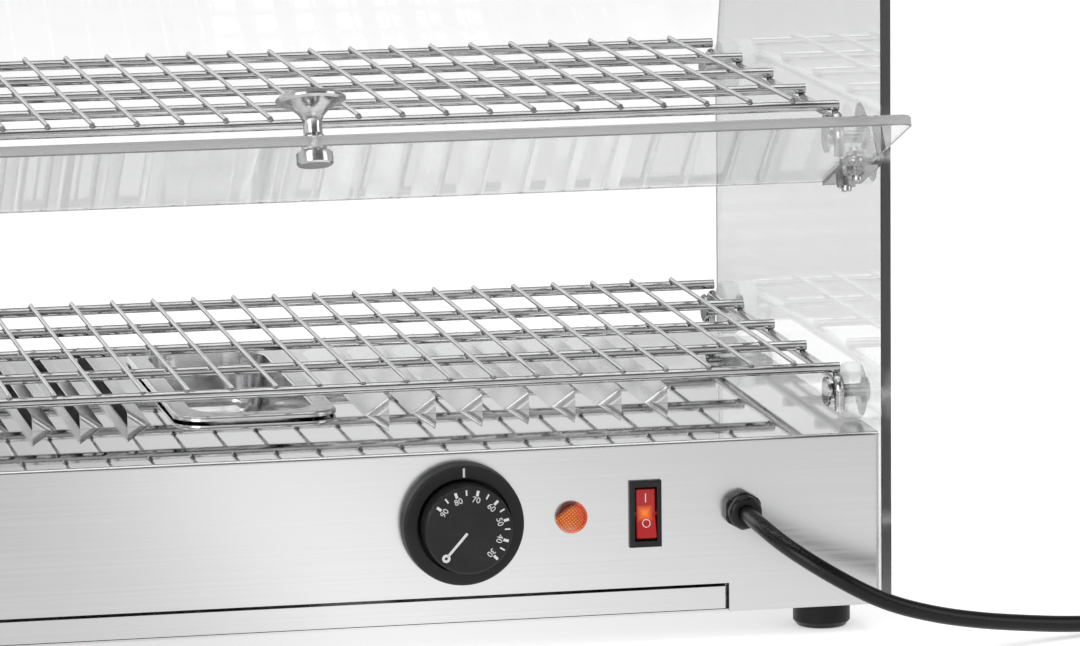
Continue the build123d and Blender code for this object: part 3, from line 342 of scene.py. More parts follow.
# knobs: turned, with fine rings across the axis
knobValues = {
    "stretch": (6.0, 500.0, 1600.0),
    "dark": (0.54, 0.54, 0.545),
    "light": (0.66, 0.66, 0.665),
    "rough": (0.12, 0.22),
    "bump": 0.04,
}
dress(metal("turnedSteel", knobValues), "lower_flap_knob", "upper_flap_knob", "lower_flap_knob_nut",
      "upper_flap_knob_nut")

# metal that lies against glass is drawn back by less than a tenth of a millimetre, so that the faces stay apart
touchValues = {
    "gap": 0.00006,
    "members": ("base_sides", "base_housing", "stud_caps", "glass_screws", "pivot_nuts", "lower_flap_brackets",
                "upper_flap_brackets", "lower_flap_bolts", "upper_flap_bolts", "lower_flap_knob", "upper_flap_knob",
                "lower_flap_knob_nut", "upper_flap_knob_nut"),
}
for touching in touchValues["members"]:
    drawBack = nodes[touching].modifiers.new("drawBack", "DISPLACE")
    drawBack.strength = -touchValues["gap"]
    drawBack.mid_level = 0.0
print("metal pieces dressed")

# glass: side panes, customer pane, roof and flaps
glassValues = {
    "face": (0.985, 0.99, 0.987),
    "shadow": (0.93, 0.94, 0.935),
    "bending": 1.5,
    "edgeEnds": (0.45, 0.75),  # where the edge ends and the face starts
    "smear": 0.02,
    "smeared": (0.5, 0.8),  # where a smear starts, and where it is in full
    "depthTint": (0.0, 0.06, 0.03),
    "depth": 3.0,
}
flapTilt = math.radians(19.8)
glassPanes = {
    "sidePane": {"faces": (1.0, 0.0, 0.0), "face": (0.975, 0.98, 0.978), "edgeRough": 0.35,
                 # grey along the edge from foot to top, with painted reflections: lighter bands where it would mirror
                 # the studs and pivots
                 "edgeRange": (0.017, 0.370),
                 "paintedEdgeReflections": [(0.0, 0.76), (0.22, 0.76), (0.245, 1.0), (0.295, 1.0), (0.32, 0.76), (0.50, 0.76),
                               (0.53, 0.8), (0.565, 1.0), (0.625, 1.0), (0.65, 0.78), (0.92, 0.76), (0.94, 0.9),
                               (1.0, 0.8)],
                 # painted glow along the edge, none on the faces
                 "depth": 2.2, "paintedEdgeGlow": [(0.0, 0.03), (0.72, 0.03), (0.97, 0.0)],
                 "members": ("glass_side_left", "glass_side_right")},
    "customerPane": {"faces": (0.0, 1.0, 0.0), "edge": (0.3, 0.31, 0.305), "edgeRough": 0.4, "depth": 2.0,
                     "members": ("glass_front",)},
    "roofPane": {"faces": (0.0, 0.0, 1.0), "edge": (0.7, 0.71, 0.705), "edgeRough": 0.4, "depth": 1.0,
                 "members": ("glass_roof",)},
    "flapPane": {"faces": (0.0, math.sin(flapTilt), math.cos(flapTilt)), "edge": (0.98, 0.985, 0.98),
                 "edgeRough": 0.45, "depth": 0.2,
                 # painted glow standing in for light scattered by the edge, more by its ground corners, little by the
                 # faces
                 "paintedEdgeGlow": [(0.0, 0.04), (0.5, 0.04), (0.66, 0.13), (0.92, 0.13), (0.97, 0.017)],
                 "members": ("lower_flap_glass", "upper_flap_glass")},
}
for paneName, paneValues in glassPanes.items():
    dress(glass(paneName, dict(glassValues, **paneValues)), *paneValues["members"])
print("glass dressed")

# bushes and hinge blocks: milky clear plastic
bushValues = {
    "fineness": 900.0,
    "dark": (0.70, 0.705, 0.71),
    "light": (0.79, 0.795, 0.80),
    "rough": (0.24, 0.36),
    "bump": 0.05,
    "specular": 0.25,
    "cover": (0.40, 0.50),  # how much it hides, face on and at the rim
    "rimBlend": 0.35,
    "rimEnds": (0.1, 0.9),
}
blockValues = dict(bushValues, cover=(0.07, 0.2))


# the cover is thinner face on than at the rim, and the far side is left clear
def milky(name, values):
    made = moulded(name, values)
    tree = made.node_tree
    rim = put(tree, "ShaderNodeLayerWeight", {"Blend": values["rimBlend"]})
    cover = between(tree, rim, "Facing", *values["cover"], *values["rimEnds"])
    facing = put(tree, "ShaderNodeNewGeometry")
    front = put(tree, "ShaderNodeMath", {0: 1.0}, operation="SUBTRACT")
    veil = put(tree, "ShaderNodeMath", operation="MULTIPLY")
    join(tree, facing, "Backfacing", front, 1)
    join(tree, cover, 0, veil, 0)
    join(tree, front, 0, veil, 1)
    join(tree, veil, 0, tree.nodes["Principled BSDF"], "Alpha")
    return made


dress(milky("milkyPlastic", bushValues), "stud_bushes")
dress(milky("clearPlastic", blockValues), "hinge_blocks")

# black plastic, rubber and the rest of the fittings
plasticValues = {
    "fineness": 2200.0,
    "dark": (0.011, 0.011, 0.0115),
    "light": (0.020, 0.020, 0.0205),
    "rough": (0.42, 0.56),
    "bump": 0.12,
    "specular": 0.3,
}
rubberValues = dict(plasticValues, dark=(0.005, 0.005, 0.0055), light=(0.010, 0.010, 0.0105), rough=(0.35, 0.48),
                    specular=0.25)
leadValues = dict(plasticValues, fineness=1500.0, dark=(0.005, 0.005, 0.0055), light=(0.009, 0.009, 0.0095),
                  rough=(0.24, 0.36), specular=0.3)
blackPlastic = moulded("blackPlastic", plasticValues)
blackRubber = moulded("blackRubber", rubberValues)
leadCover = moulded("leadCover", leadValues)
dress(blackPlastic, "thermostat_ring", "thermostat_dial", "thermostat_body", "switch_housing")
dress(leadCover, "cable_gland", "gland_nut", "plug_body", "cord_tie", "wiring_loom")
dress(blackRubber, "foot_operator_left", "foot_operator_right", "foot_customer_left", "foot_customer_right")
paleValues = {
    "fineness": 700.0,
    "dark": (0.72, 0.70, 0.63),
    "light": (0.84, 0.82, 0.76),
    "rough": (0.3, 0.45),
    "bump": 0.1,
}
dress(moulded("palePlastic", paleValues), "terminal_block", "indicator_body")
elementValues = {
    "stretch": (20.0, 60.0, 60.0),
    "dark": (0.16, 0.14, 0.13),
    "light": (0.36, 0.34, 0.32),
    "rough": (0.4, 0.6),
    "bump": 0.1,
}
dress(metal("oxidisedSheath", elementValues), "heating_elements")
copperValues = {
    "stretch": (90.0, 30.0, 90.0),
    "dark": (0.56, 0.30, 0.15),
    "light": (0.76, 0.45, 0.26),
    "rough": (0.25, 0.4),
    "bump": 0.05,
}
dress(metal("copperTube", copperValues), "thermostat_bulb")
print("fittings dressed")


# mains lead: the route down to the worktop, the coil of spare length beside the case, and the end at the plug
leadShape = {
    "route": [(0.2175, -0.123, 0.0624), (0.2175, -0.149, 0.0622), (0.226, -0.173, 0.0542), (0.2455, -0.187, 0.0416),
              (0.2695, -0.1885, 0.0282), (0.2952, -0.1838, 0.0198), (0.3205, -0.176, 0.014),
              (0.3455, -0.1666, 0.0096), (0.370, -0.1574, 0.0059), (0.395, -0.151, 0.0042),
              (0.420, -0.1486, 0.0046), (0.442, -0.148, 0.0052), (0.462, -0.148, 0.0055)],
    "tail": [(0.514, -0.092, 0.0138), (0.5148, -0.067, 0.0139), (0.5148, -0.042, 0.0144),
             (0.514, -0.020, 0.015), (0.514, 0.002, 0.015)],
    "coilMiddle": (0.462, -0.096),
    "coilRadius": 0.052,
    "turnPitch": 0.0082,
    "turns": 4.25,
    "turnPoints": 16,
    "climb": (2.0, 2.5),  # the turns between which it climbs to the second layer
    "layers": (0.0055, 0.0138),
    "tuck": 0.0012,  # how far it dips inwards as it climbs
    "radius": 0.004,
    "length": 1.525,
    "roundSteps": 5,
    "alongSteps": 6,
}


# the coil runs in by one pitch a turn, climbs on to itself, and runs out again on top
def coilPoints(values):
    turn = np.arange(1, int(values["turns"] * values["turnPoints"])) / values["turnPoints"]
    start, end = values["climb"]
    low, high = values["layers"]
    inner = values["coilRadius"] - values["turnPitch"] * start
    rise = np.clip((turn - start) / (end - start), 0.0, 1.0)
    inward = values["coilRadius"] - values["turnPitch"] * turn
    outward = inner + (values["coilRadius"] - inner) * (turn - end) / (values["turns"] - end)
    climbing = inner - values["tuck"] * np.sin(math.pi * rise)
    radius = np.where(turn <= start, inward, np.where(turn >= end, outward, climbing))
    height = low + (high - low) * rise * rise * (3.0 - 2.0 * rise)
    angle = 2.0 * math.pi * turn - math.pi / 2.0
    across = values["coilMiddle"][0] + radius * np.cos(angle)
    along = values["coilMiddle"][1] + radius * np.sin(angle)
    return np.stack([across, along, height], axis=1)


leadPoints = np.concatenate([leadShape["route"], coilPoints(leadShape), leadShape["tail"]])
leadCurve = bpy.data.curves.new("mains_lead", "CURVE")
leadCurve.dimensions = "3D"
leadCurve.bevel_depth = leadShape["radius"]
leadCurve.bevel_resolution = leadShape["roundSteps"]
leadCurve.resolution_u = leadShape["alongSteps"]
leadCurve.use_fill_caps = True
leadSpline = leadCurve.splines.new("NURBS")
leadSpline.points.add(len(leadPoints) - 1)
leadSpline.points.foreach_set("co", np.column_stack([leadPoints, np.ones(len(leadPoints))]).ravel())
leadSpline.order_u = 3
leadSpline.use_endpoint_u = True
leadCurve.materials.append(leadCover)
lead = bpy.data.objects.new("mains_lead", leadCurve)
scene.collection.objects.link(lead)
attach(lead, "base")
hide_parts("mains_cord", "cord_coil", "cord_tail")
print("mains lead laid")


# a mesh from rows of points and faces, riding on a body
def addPiece(name, points, faces, body, made, smooth=False):
    mesh = bpy.data.meshes.new(name)
    mesh.from_pydata(np.asarray(points, float).tolist(), [], [list(map(int, face)) for face in faces])
    mesh.validate()
    mesh.polygons.foreach_set("use_smooth", np.full(len(mesh.polygons), smooth))
    mesh.materials.append(made)
    piece = bpy.data.objects.new(name, mesh)
    scene.collection.objects.link(piece)
    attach(piece, body)
    return piece


# white print
printValues = {
    "fineness": 1500.0,
    "dark": (0.74, 0.74, 0.73),
    "light": (0.86, 0.86, 0.85),
    "rough": (0.4, 0.55),
    "bump": 0.05,
}
whitePrint = moulded("whitePrint", printValues)

dialValues = {
    "middle": (0.0821, 0.0624),
    "face": -0.143,
    "thick": 0.00008,
    "degrees": {90: -52.5, 80: -20.0, 70: 13.0, 60: 45.0, 50: 76.0, 40: 107.0, 30: 137.0},
    "halves": (-36.0, -4.0, 29.0, 60.0, 90.0, 121.0),
    "tickMiddle": 0.0181,
    "tickHalf": 0.0013,
    "wide": 0.00065,
    "narrow": 0.00037,
    "numberRadius": 0.0150,
    "numberSize": 0.0041,
    "numberSteps": 4,
    "offAngle": 221.6,
    "offLine": (0.0016, 0.0152),
    "offHalf": 0.00062,
    "offRing": (0.0170, 0.0007, 0.0020),  # place, inner and outer radius
}


# thin bars on a face: one box for each middle, half width, half length and clockwise angle
def barBoxes(middles, halfWide, halfLong, angles, thick):
    angles = np.radians(np.asarray(angles, float))
    outward = np.stack([np.sin(angles), np.cos(angles)], axis=1)
    sideways = np.stack([np.cos(angles), -np.sin(angles)], axis=1)
    signs = np.array([(-1, -1), (1, -1), (1, 1), (-1, 1)], float)
    flat = (np.asarray(middles)[:, None, None] * outward[:, None, :]
            + signs[None, :, :1] * np.asarray(halfWide)[:, None, None] * sideways[:, None, :]
            + signs[None, :, 1:] * np.asarray(halfLong)[:, None, None] * outward[:, None, :])
    low = np.concatenate([flat, np.zeros(flat.shape[:2] + (1,))], axis=2)
    high = np.concatenate([flat, np.full(flat.shape[:2] + (1,), thick)], axis=2)
    points = np.concatenate([low, high], axis=1).reshape(-1, 3)
    box = np.array([(3, 2, 1, 0), (4, 5, 6, 7), (0, 1, 5, 4), (1, 2, 6, 5), (2, 3, 7, 6), (3, 0, 4, 7)])
    faces = (box[None] + 8 * np.arange(len(angles))[:, None, None]).reshape(-1, 4)
    return points, faces.tolist()


# a flat ring: an inner and an outer circle, below and above
def ringBand(middle, inner, outer, thick, count=48):
    turn = np.linspace(0.0, 2.0 * math.pi, count, endpoint=False)
    circle = np.stack([np.cos(turn), np.sin(turn)], axis=1)
    rows = [np.column_stack([np.asarray(middle) + radius * circle, np.full(count, height)])
            for radius, height in ((inner, 0.0), (outer, 0.0), (outer, thick), (inner, thick))]
    index = np.arange(4 * count).reshape(4, count)
    after = np.roll(index, -1, axis=1)
    faces = np.concatenate([np.stack([index[row], after[row], after[(row + 1) % 4], index[(row + 1) % 4]], axis=1)
                            for row in range(4)])
    return np.concatenate(rows), faces[:, ::-1].tolist()


# letters as a thin mesh, centred
def wordMesh(word, size, steps, thick):
    curve = bpy.data.curves.new("word", "FONT")
    curve.body = word
    curve.size = size
    curve.extrude = thick / 2.0
    curve.resolution_u = steps
    holder = bpy.data.objects.new("word", curve)
    scene.collection.objects.link(holder)
    mesh = bpy.data.meshes.new_from_object(holder.evaluated_get(bpy.context.evaluated_depsgraph_get()))
    points = np.zeros(3 * len(mesh.vertices))
    mesh.vertices.foreach_get("co", points)
    points = points.reshape(-1, 3)
    points[:, :2] -= (points[:, :2].min(axis=0) + points[:, :2].max(axis=0)) / 2.0
    points[:, 2] += thick / 2.0
    faces = [list(face.vertices) for face in mesh.polygons]
    bpy.data.objects.remove(holder)
    bpy.data.curves.remove(curve)
    bpy.data.meshes.remove(mesh)
    return points, faces


# turn flat points clockwise and carry them outwards
def turnOut(points, angle, radius):
    angle = math.radians(angle)
    turned = points.copy()
    turned[:, 0] = points[:, 0] * math.cos(angle) + (points[:, 1] + radius) * math.sin(angle)
    turned[:, 1] = -points[:, 0] * math.sin(angle) + (points[:, 1] + radius) * math.cos(angle)
    return turned


def gather(parts):
    points, faces, start = [], [], 0
    for rows, members in parts:
        points.append(rows)
        faces += [[start + int(corner) for corner in face] for face in members]
        start += len(rows)
    return np.concatenate(points), faces


# flat points on a face that looks at the operator: right, up and out become +X, +Z and -Y
def ontoPanel(points, middle, face):
    return np.column_stack([middle[0] + points[:, 0], face - points[:, 2], middle[1] + points[:, 1]])


tens = list(dialValues["degrees"].values())
halves = list(dialValues["halves"])
tickAngles = tens + halves
dialParts = [barBoxes([dialValues["tickMiddle"]] * len(tickAngles),
                      [dialValues["wide"]] * len(tens) + [dialValues["narrow"]] * len(halves),
                      [dialValues["tickHalf"]] * len(tickAngles), tickAngles, dialValues["thick"])]
for number, angle in dialValues["degrees"].items():
    letters, letterFaces = wordMesh(str(number), dialValues["numberSize"], dialValues["numberSteps"],
                                    dialValues["thick"])
    dialParts.append((turnOut(letters, angle, dialValues["numberRadius"]), letterFaces))
lineStart, lineEnd = dialValues["offLine"]
dialParts.append(barBoxes([(lineStart + lineEnd) / 2.0], [dialValues["offHalf"]], [(lineEnd - lineStart) / 2.0],
                          [dialValues["offAngle"]], dialValues["thick"]))
ringPlace, ringInner, ringOuter = dialValues["offRing"]
offWay = math.radians(dialValues["offAngle"])
dialParts.append(ringBand((ringPlace * math.sin(offWay), ringPlace * math.cos(offWay)), ringInner, ringOuter,
                          dialValues["thick"]))
dialPoints, dialFaces = gather(dialParts)
addPiece("dial_print", ontoPanel(dialPoints, dialValues["middle"], dialValues["face"]), dialFaces,
         "dial", whitePrint)

# index on the ring, down its rounded edge
indexValues = {
    "middle": (0.0821, 0.0624),
    "half": 0.0005,
    "profile": [(0.0231, -0.13006), (0.0272, -0.13006), (0.0280, -0.1298), (0.0285, -0.1292), (0.02878, -0.1285)],
    # how far its underside lies in the ring at each of these points
    "sunk": [(0.0, 0.0003), (0.0, 0.0003), (-0.0002, 0.0002), (-0.0003, 0.0001), (-0.0003, 0.0)],
}
profile = np.asarray(indexValues["profile"])
inside = profile + np.asarray(indexValues["sunk"])
loop = np.concatenate([profile, inside[::-1]])
leftSide = np.column_stack([np.full(len(loop), indexValues["middle"][0] - indexValues["half"]), loop[:, 1],
                            indexValues["middle"][1] + loop[:, 0]])
rightSide = leftSide + np.array((2.0 * indexValues["half"], 0.0, 0.0))
count = len(loop)
indexFaces = [(step, (step + 1) % count, count + (step + 1) % count, count + step) for step in range(count)]
indexFaces += [tuple(range(count - 1, -1, -1)), tuple(range(count, 2 * count))]
addPiece("dial_index", np.concatenate([leftSide, rightSide]), indexFaces, "base", whitePrint)
print("dial printed")


# lamp lens: a low dome of small pyramids inside a rounded rim
lampValues = {
    "middle": (0.1350, 0.0624),
    "panel": -0.121,
    "radius": 0.0077,
    "rim": 0.0062,
    "rimHeight": 0.0026,
    "rimFoot": 0.45,  # share of that height where the bead starts
    "crown": 0.0012,
    "base": 0.0019,
    "pitch": 0.00125,
    "pyramid": 0.0005,
    "turn": 38.0,
    "rings": 84,
    "segments": 200,
    "groove": (0.36, 0.035, 0.010),
    "peak": (0.98, 0.34, 0.04),
    # tones laid over these: colour, share, weight of the place to the right and above, start and end
    "tones": {
        "reddish": ((0.50, 0.06, 0.03), 0.75, 1.0, 0.45, 0.0, 0.8),
        # the tone below is painted shade at the upper left
        "paintedShade": ((0.10, 0.012, 0.006), 1.0, -0.55, 0.85, 0.42, 0.78),
        # the tone below is a painted highlight along the lower rim
        "pale": ((0.66, 0.24, 0.17), 0.85, -0.2, -1.0, 0.45, 0.85),
    },
    "fineness": 800.0,
    "rough": (0.12, 0.22),
    "glow": 0.22,
}


# 1 at the peak of each cell of a turned square net, 0 along its lines
def lampCell(across, up, values):
    turn = math.radians(values["turn"])
    first = (across * math.cos(turn) + up * math.sin(turn)) / values["pitch"]
    second = (up * math.cos(turn) - across * math.sin(turn)) / values["pitch"]
    return 1.0 - 2.0 * np.maximum(np.abs(first - np.round(first)), np.abs(second - np.round(second)))


# height over the panel: inside the rim a parabola plus one pyramid per cell, at the rim a quarter-round bead
def lampHeight(across, up, values):
    radius = np.hypot(across, up)
    peaks = values["pyramid"] * lampCell(across, up, values)
    dome = values["base"] + values["crown"] * (1.0 - (radius / values["rim"]) ** 2) + peaks
    half = (values["radius"] - values["rim"]) / 2.0
    bead = np.sqrt(np.clip(1.0 - ((radius - values["rim"] - half) / half) ** 2, 0.0, 1.0))
    rim = values["rimHeight"] * (values["rimFoot"] + (1.0 - values["rimFoot"]) * bead)
    return np.where(radius < values["rim"], dome, rim)


ringSteps = np.linspace(0.0, 1.0, lampValues["rings"] + 1)[1:]
turnSteps = np.linspace(0.0, 2.0 * math.pi, lampValues["segments"], endpoint=False)
radii, turns = np.meshgrid(lampValues["radius"] * ringSteps, turnSteps, indexing="ij")
across, up = radii * np.cos(turns), radii * np.sin(turns)
lift = lampHeight(across, up, lampValues)
skirt = np.stack([across[-1], up[-1], np.zeros(lampValues["segments"])], axis=1)
grid = np.stack([across, up, lift], axis=2).reshape(-1, 3)
frontPole = np.array([(0.0, 0.0, lampHeight(np.zeros(1), np.zeros(1), lampValues)[0])])
lampPoints = np.concatenate([grid, skirt, frontPole, np.zeros((1, 3))])
index = np.arange((lampValues["rings"] + 1) * lampValues["segments"]).reshape(-1, lampValues["segments"])
after = np.roll(index, -1, axis=1)
lampFaces = np.stack([index[:-1], index[1:], after[1:], after[:-1]], axis=2).reshape(-1, 4).tolist()
frontIndex, backIndex = len(lampPoints) - 2, len(lampPoints) - 1
lampFaces += [(frontIndex, start, end) for start, end in zip(index[0], after[0])]
lampFaces += [(backIndex, end, start) for start, end in zip(index[-1], after[-1])]


def ease(value, start, end):
    share = np.clip((value - start) / (end - start), 0.0, 1.0)
    return share * share * (3.0 - 2.0 * share)


def blendRows(first, second, share):
    return first + (second - first) * share[:, None]


# colour at each point: groove to peak by the cell, redder to the right, painted shade at the upper left, a painted
# highlight at the lower rim
def lampColours(points, values):
    right, above = points[:, 0] / values["radius"], points[:, 1] / values["radius"]
    groove, peak = np.asarray(values["groove"]), np.asarray(values["peak"])
    colours = blendRows(groove[None], peak, lampCell(points[:, 0], points[:, 1], values))
    for tone, share, rightward, upward, start, end in values["tones"].values():
        cover = share * ease(rightward * right + upward * above, start, end)
        colours = blendRows(colours, np.asarray(tone), cover)
    return colours


amberLens, amberTree, amberShader = newMaterial("amberLens")
amberTint = put(amberTree, "ShaderNodeAttribute", attribute_name="lensColour")
join(amberTree, amberTint, "Color", amberShader, "Base Color")
join(amberTree, amberTint, "Color", amberShader, "Emission Color")
amberShader.inputs["Emission Strength"].default_value = lampValues["glow"]
mouldGloss(amberTree, amberShader, lampValues)
lamp = addPiece("lamp_lens", ontoPanel(lampPoints, lampValues["middle"], lampValues["panel"]), lampFaces, "base",
                amberLens)
lensColour = lamp.data.color_attributes.new("lensColour", "FLOAT_COLOR", "POINT")
lensColour.data.foreach_set("color", np.column_stack([lampColours(lampPoints, lampValues),
                                                      np.ones(len(lampPoints))]).ravel())
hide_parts("indicator_lens")
print("lamp made")


# rocker: red with a warm glow in the middle, and white marks on its two faces
rockerValues = {
    "axis": (0.1708, -0.121, 0.0624),
    "tilt": 8.0,  # degrees, upper half pressed in
    "valley": -0.0016,
    "slope": 0.1155,
    "thick": 0.00008,
    "bar": (0.0075, 0.0021, 0.00024),  # place, half length, half width
    "ring": (-0.0046, 0.00165, 0.0020),  # place, inner and outer radius
    # colour and glow by the distance from the lit spot: inside, outside, and where each starts to fade and ends
    "spot": (0.1703, -0.121, 0.0629),
    "tint": ((0.66, 0.06, 0.015), (0.46, 0.009, 0.009), 0.0012, 0.0030),
    "shine": ((0.95, 0.36, 0.04), (0.02, 0.001, 0.001), 0.0011, 0.0023),
    "glow": 0.55,
    "fineness": 900.0,
    "rough": (0.14, 0.24),
}


# flat points on the rocker's face: depth falls away from the valley by the slope on both sides
def ontoRocker(points, values):
    tilt = math.radians(values["tilt"])
    depth = values["valley"] - values["slope"] * np.abs(points[:, 1]) - points[:, 2]
    along = depth * math.cos(tilt) + points[:, 1] * math.sin(tilt)
    upward = -depth * math.sin(tilt) + points[:, 1] * math.cos(tilt)
    return np.column_stack([values["axis"][0] + points[:, 0], values["axis"][1] + along, values["axis"][2] + upward])


barPlace, barHalf, barWide = rockerValues["bar"]
ringPlace, ringInner, ringOuter = rockerValues["ring"]
markParts = [barBoxes([barPlace], [barWide], [barHalf], [0.0], rockerValues["thick"]),
             ringBand((0.0, ringPlace), ringInner, ringOuter, rockerValues["thick"])]
markPoints, markFaces = gather(markParts)
addPiece("rocker_marks", ontoRocker(markPoints, rockerValues), markFaces, "rocker", whitePrint)

redRocker, redTree, redShader = newMaterial("redRocker")
redPlace = put(redTree, "ShaderNodeTexCoord")
redMove = put(redTree, "ShaderNodeVectorMath", {1: rockerValues["spot"]}, operation="SUBTRACT")
redSize = put(redTree, "ShaderNodeVectorMath", operation="ABSOLUTE")
redSplit = put(redTree, "ShaderNodeSeparateXYZ")
redFar = put(redTree, "ShaderNodeMath", operation="MAXIMUM")
join(redTree, redPlace, "Object", redMove, 0)
join(redTree, redMove, 0, redSize, 0)
join(redTree, redSize, 0, redSplit, 0)
join(redTree, redSplit, "X", redFar, 0)
join(redTree, redSplit, "Z", redFar, 1)
redTint = ramp(redTree, redFar, "Value", *rockerValues["tint"])
join(redTree, redTint, 0, redShader, "Base Color")
redGlow = ramp(redTree, redFar, "Value", *rockerValues["shine"])
join(redTree, redGlow, 0, redShader, "Emission Color")
redShader.inputs["Emission Strength"].default_value = rockerValues["glow"]
mouldGloss(redTree, redShader, rockerValues)
dress(redRocker, "switch_rocker")
print("switch marked")


# weld beads: a squashed ball at each crossing of wire and rod
weldValues = {
    "tops": {"lower_shelf": 0.127, "upper_shelf": 0.254},
    "wirePitch": 0.021,
    "wireCount": 25,
    "rodNear": -0.086,
    "rodFar": 0.186,
    "rodCount": 5,
    "drop": 0.0021,  # crossing below the shelf's top
    "size": (0.0018, 0.0021, 0.0009),
    "rings": 5,
    "segments": 10,
    "stretch": (300.0, 300.0, 300.0),
    "dark": (0.16, 0.15, 0.14),
    "light": (0.42, 0.41, 0.40),
    "rough": (0.3, 0.5),
    "bump": 0.1,
}
# the beads are darker than the wire
darkWeldBeads = metal("darkWeldBeads", weldValues)


# one ball on a grid of latitude and turn, carried to every crossing
def weldBeads(values, top):
    latitude = np.linspace(-math.pi / 2.0, math.pi / 2.0, values["rings"] + 2)[1:-1]
    turn = np.linspace(0.0, 2.0 * math.pi, values["segments"], endpoint=False)
    lat, way = np.meshgrid(latitude, turn, indexing="ij")
    ball = np.stack([np.cos(lat) * np.cos(way), np.cos(lat) * np.sin(way), np.sin(lat)], axis=2).reshape(-1, 3)
    ball = np.concatenate([ball, [(0.0, 0.0, -1.0), (0.0, 0.0, 1.0)]]) * np.asarray(values["size"])
    index = np.arange(values["rings"] * values["segments"]).reshape(values["rings"], -1)
    after = np.roll(index, -1, axis=1)
    quads = np.stack([index[:-1], after[:-1], after[1:], index[1:]], axis=2).reshape(-1, 4)
    low, high = index.size, index.size + 1
    caps = [(low, end, start) for start, end in zip(index[0], after[0])]
    caps += [(high, start, end) for start, end in zip(index[-1], after[-1])]
    wires = values["wirePitch"] * (np.arange(values["wireCount"]) - (values["wireCount"] - 1) / 2.0)
    rods = np.linspace(values["rodNear"], values["rodFar"], values["rodCount"])
    spots = np.stack(np.meshgrid(wires, rods, [top - values["drop"]], indexing="ij"), axis=3).reshape(-1, 3)
    points = (spots[:, None, :] + ball[None]).reshape(-1, 3)
    step = len(ball) * np.arange(len(spots))
    faces = (quads[None] + step[:, None, None]).reshape(-1, 4).tolist()
    faces += (np.asarray(caps)[None] + step[:, None, None]).reshape(-1, 3).tolist()
    return points, faces


for shelf, shelfTop in weldValues["tops"].items():
    beadPoints, beadFaces = weldBeads(weldValues, shelfTop)
    addPiece(shelf + "_welds", beadPoints, beadFaces, shelf, darkWeldBeads, smooth=True)
print("welds set")


# floor: white to the eye, plain pale to the light, with the case's shadow kept
floorValues = {
    "half": 8.0,
    "height": -0.0003,
    "colour": (0.8, 0.8, 0.8, 1.0),
    "lift": 0.45,
    "span": (-0.4, 0.4),
    # a soft pool of light in front of the case, as metal mirrors it, from left to right across the span
    "pool": [(0.0, 0.40), (0.386, 0.56), (0.45, 0.68), (0.498, 0.85), (0.556, 1.08), (0.598, 1.05), (0.70, 0.88),
             (0.74, 0.82), (0.795, 0.76), (0.85, 0.70), (0.89, 0.70), (1.0, 0.68)],
    "poolLevel": 1.24,
    "spread": (0.86, -0.62, -0.27, 0.4),  # even level near the case, where it starts and ends, and its share
    # level from far in front to behind the case
    "behind": [(0.0, 0.45), (0.16, 0.45), (0.23, 1.0), (0.42, 1.0), (0.504, 0.25), (0.6, 0.25), (0.72, 0.52),
               (1.0, 0.55)],
    "reach": (-2.0, 3.0),
}
half = floorValues["half"]
floorMesh = bpy.data.meshes.new("floor")
floorMesh.from_pydata([(-half, -half, 0.0), (half, -half, 0.0), (half, half, 0.0), (-half, half, 0.0)], [],
                      [(0, 1, 2, 3)])
floor = bpy.data.objects.new("floor", floorMesh)
floor.location.z = floorValues["height"]
scene.collection.objects.link(floor)
floorMade, floorTree, floorShader = newMaterial("paleFloor")
floorShader.inputs["Base Color"].default_value = floorValues["colour"]
floorShader.inputs["Roughness"].default_value = 1.0
floorShader.inputs["Specular IOR Level"].default_value = 0.0
floorRays = put(floorTree, "ShaderNodeLightPath")
floorSeen = put(floorTree, "ShaderNodeMath", operation="MAXIMUM")
floorGlow = put(floorTree, "ShaderNodeEmission", {"Color": (1.0, 1.0, 1.0, 1.0)})
floorLift = put(floorTree, "ShaderNodeMath", {1: floorValues["lift"]}, operation="MULTIPLY")
floorSum = put(floorTree, "ShaderNodeAddShader")
join(floorTree, floorRays, "Is Camera Ray", floorSeen, 0)
join(floorTree, floorRays, "Is Transmission Ray", floorSeen, 1)
join(floorTree, floorSeen, 0, floorLift, 0)
join(floorTree, floorLift, 0, floorGlow, "Strength")
join(floorTree, floorShader, 0, floorSum, 0)
join(floorTree, floorGlow, 0, floorSum, 1)
floorPlace = put(floorTree, "ShaderNodeTexCoord")
floorSplit = put(floorTree, "ShaderNodeSeparateXYZ")
join(floorTree, floorPlace, "Object", floorSplit, 0)
floorAcross = between(floorTree, floorSplit, "X", 0.0, 1.0, *floorValues["span"])
floorPool = brightness(floorTree, floorAcross, 0, floorValues["pool"])
floorAlong = between(floorTree, floorSplit, "Y", 0.0, 1.0, *floorValues["reach"])
floorBehind = brightness(floorTree, floorAlong, 0, floorValues["behind"])
evenLevel, spreadStart, spreadEnd, spreadShare = floorValues["spread"]
floorSpread = between(floorTree, floorSplit, "Y", 0.0, spreadShare, spreadStart, spreadEnd)
floorEven = put(floorTree, "ShaderNodeMix", {7: (evenLevel, evenLevel, evenLevel, 1.0)}, data_type="RGBA")
join(floorTree, floorSpread, 0, floorEven, 0)
join(floorTree, floorPool, 0, floorEven, 6)
floorShade = put(floorTree, "ShaderNodeMix", {0: 1.0}, data_type="RGBA", blend_type="MULTIPLY")
floorMirror = put(floorTree, "ShaderNodeEmission", {"Strength": floorValues["poolLevel"]})
floorMix = put(floorTree, "ShaderNodeMixShader")
join(floorTree, floorEven, 2, floorShade, 6)
join(floorTree, floorBehind, 0, floorShade, 7)
join(floorTree, floorShade, 2, floorMirror, "Color")
join(floorTree, metMirror(floorTree, floorRays), 0, floorMix, 0)
join(floorTree, floorSum, 0, floorMix, 1)
join(floorTree, floorMirror, 0, floorMix, 2)
join(floorTree, floorMix, 0, floorTree.nodes["Material Output"], "Surface")
floorMesh.materials.append(floorMade)

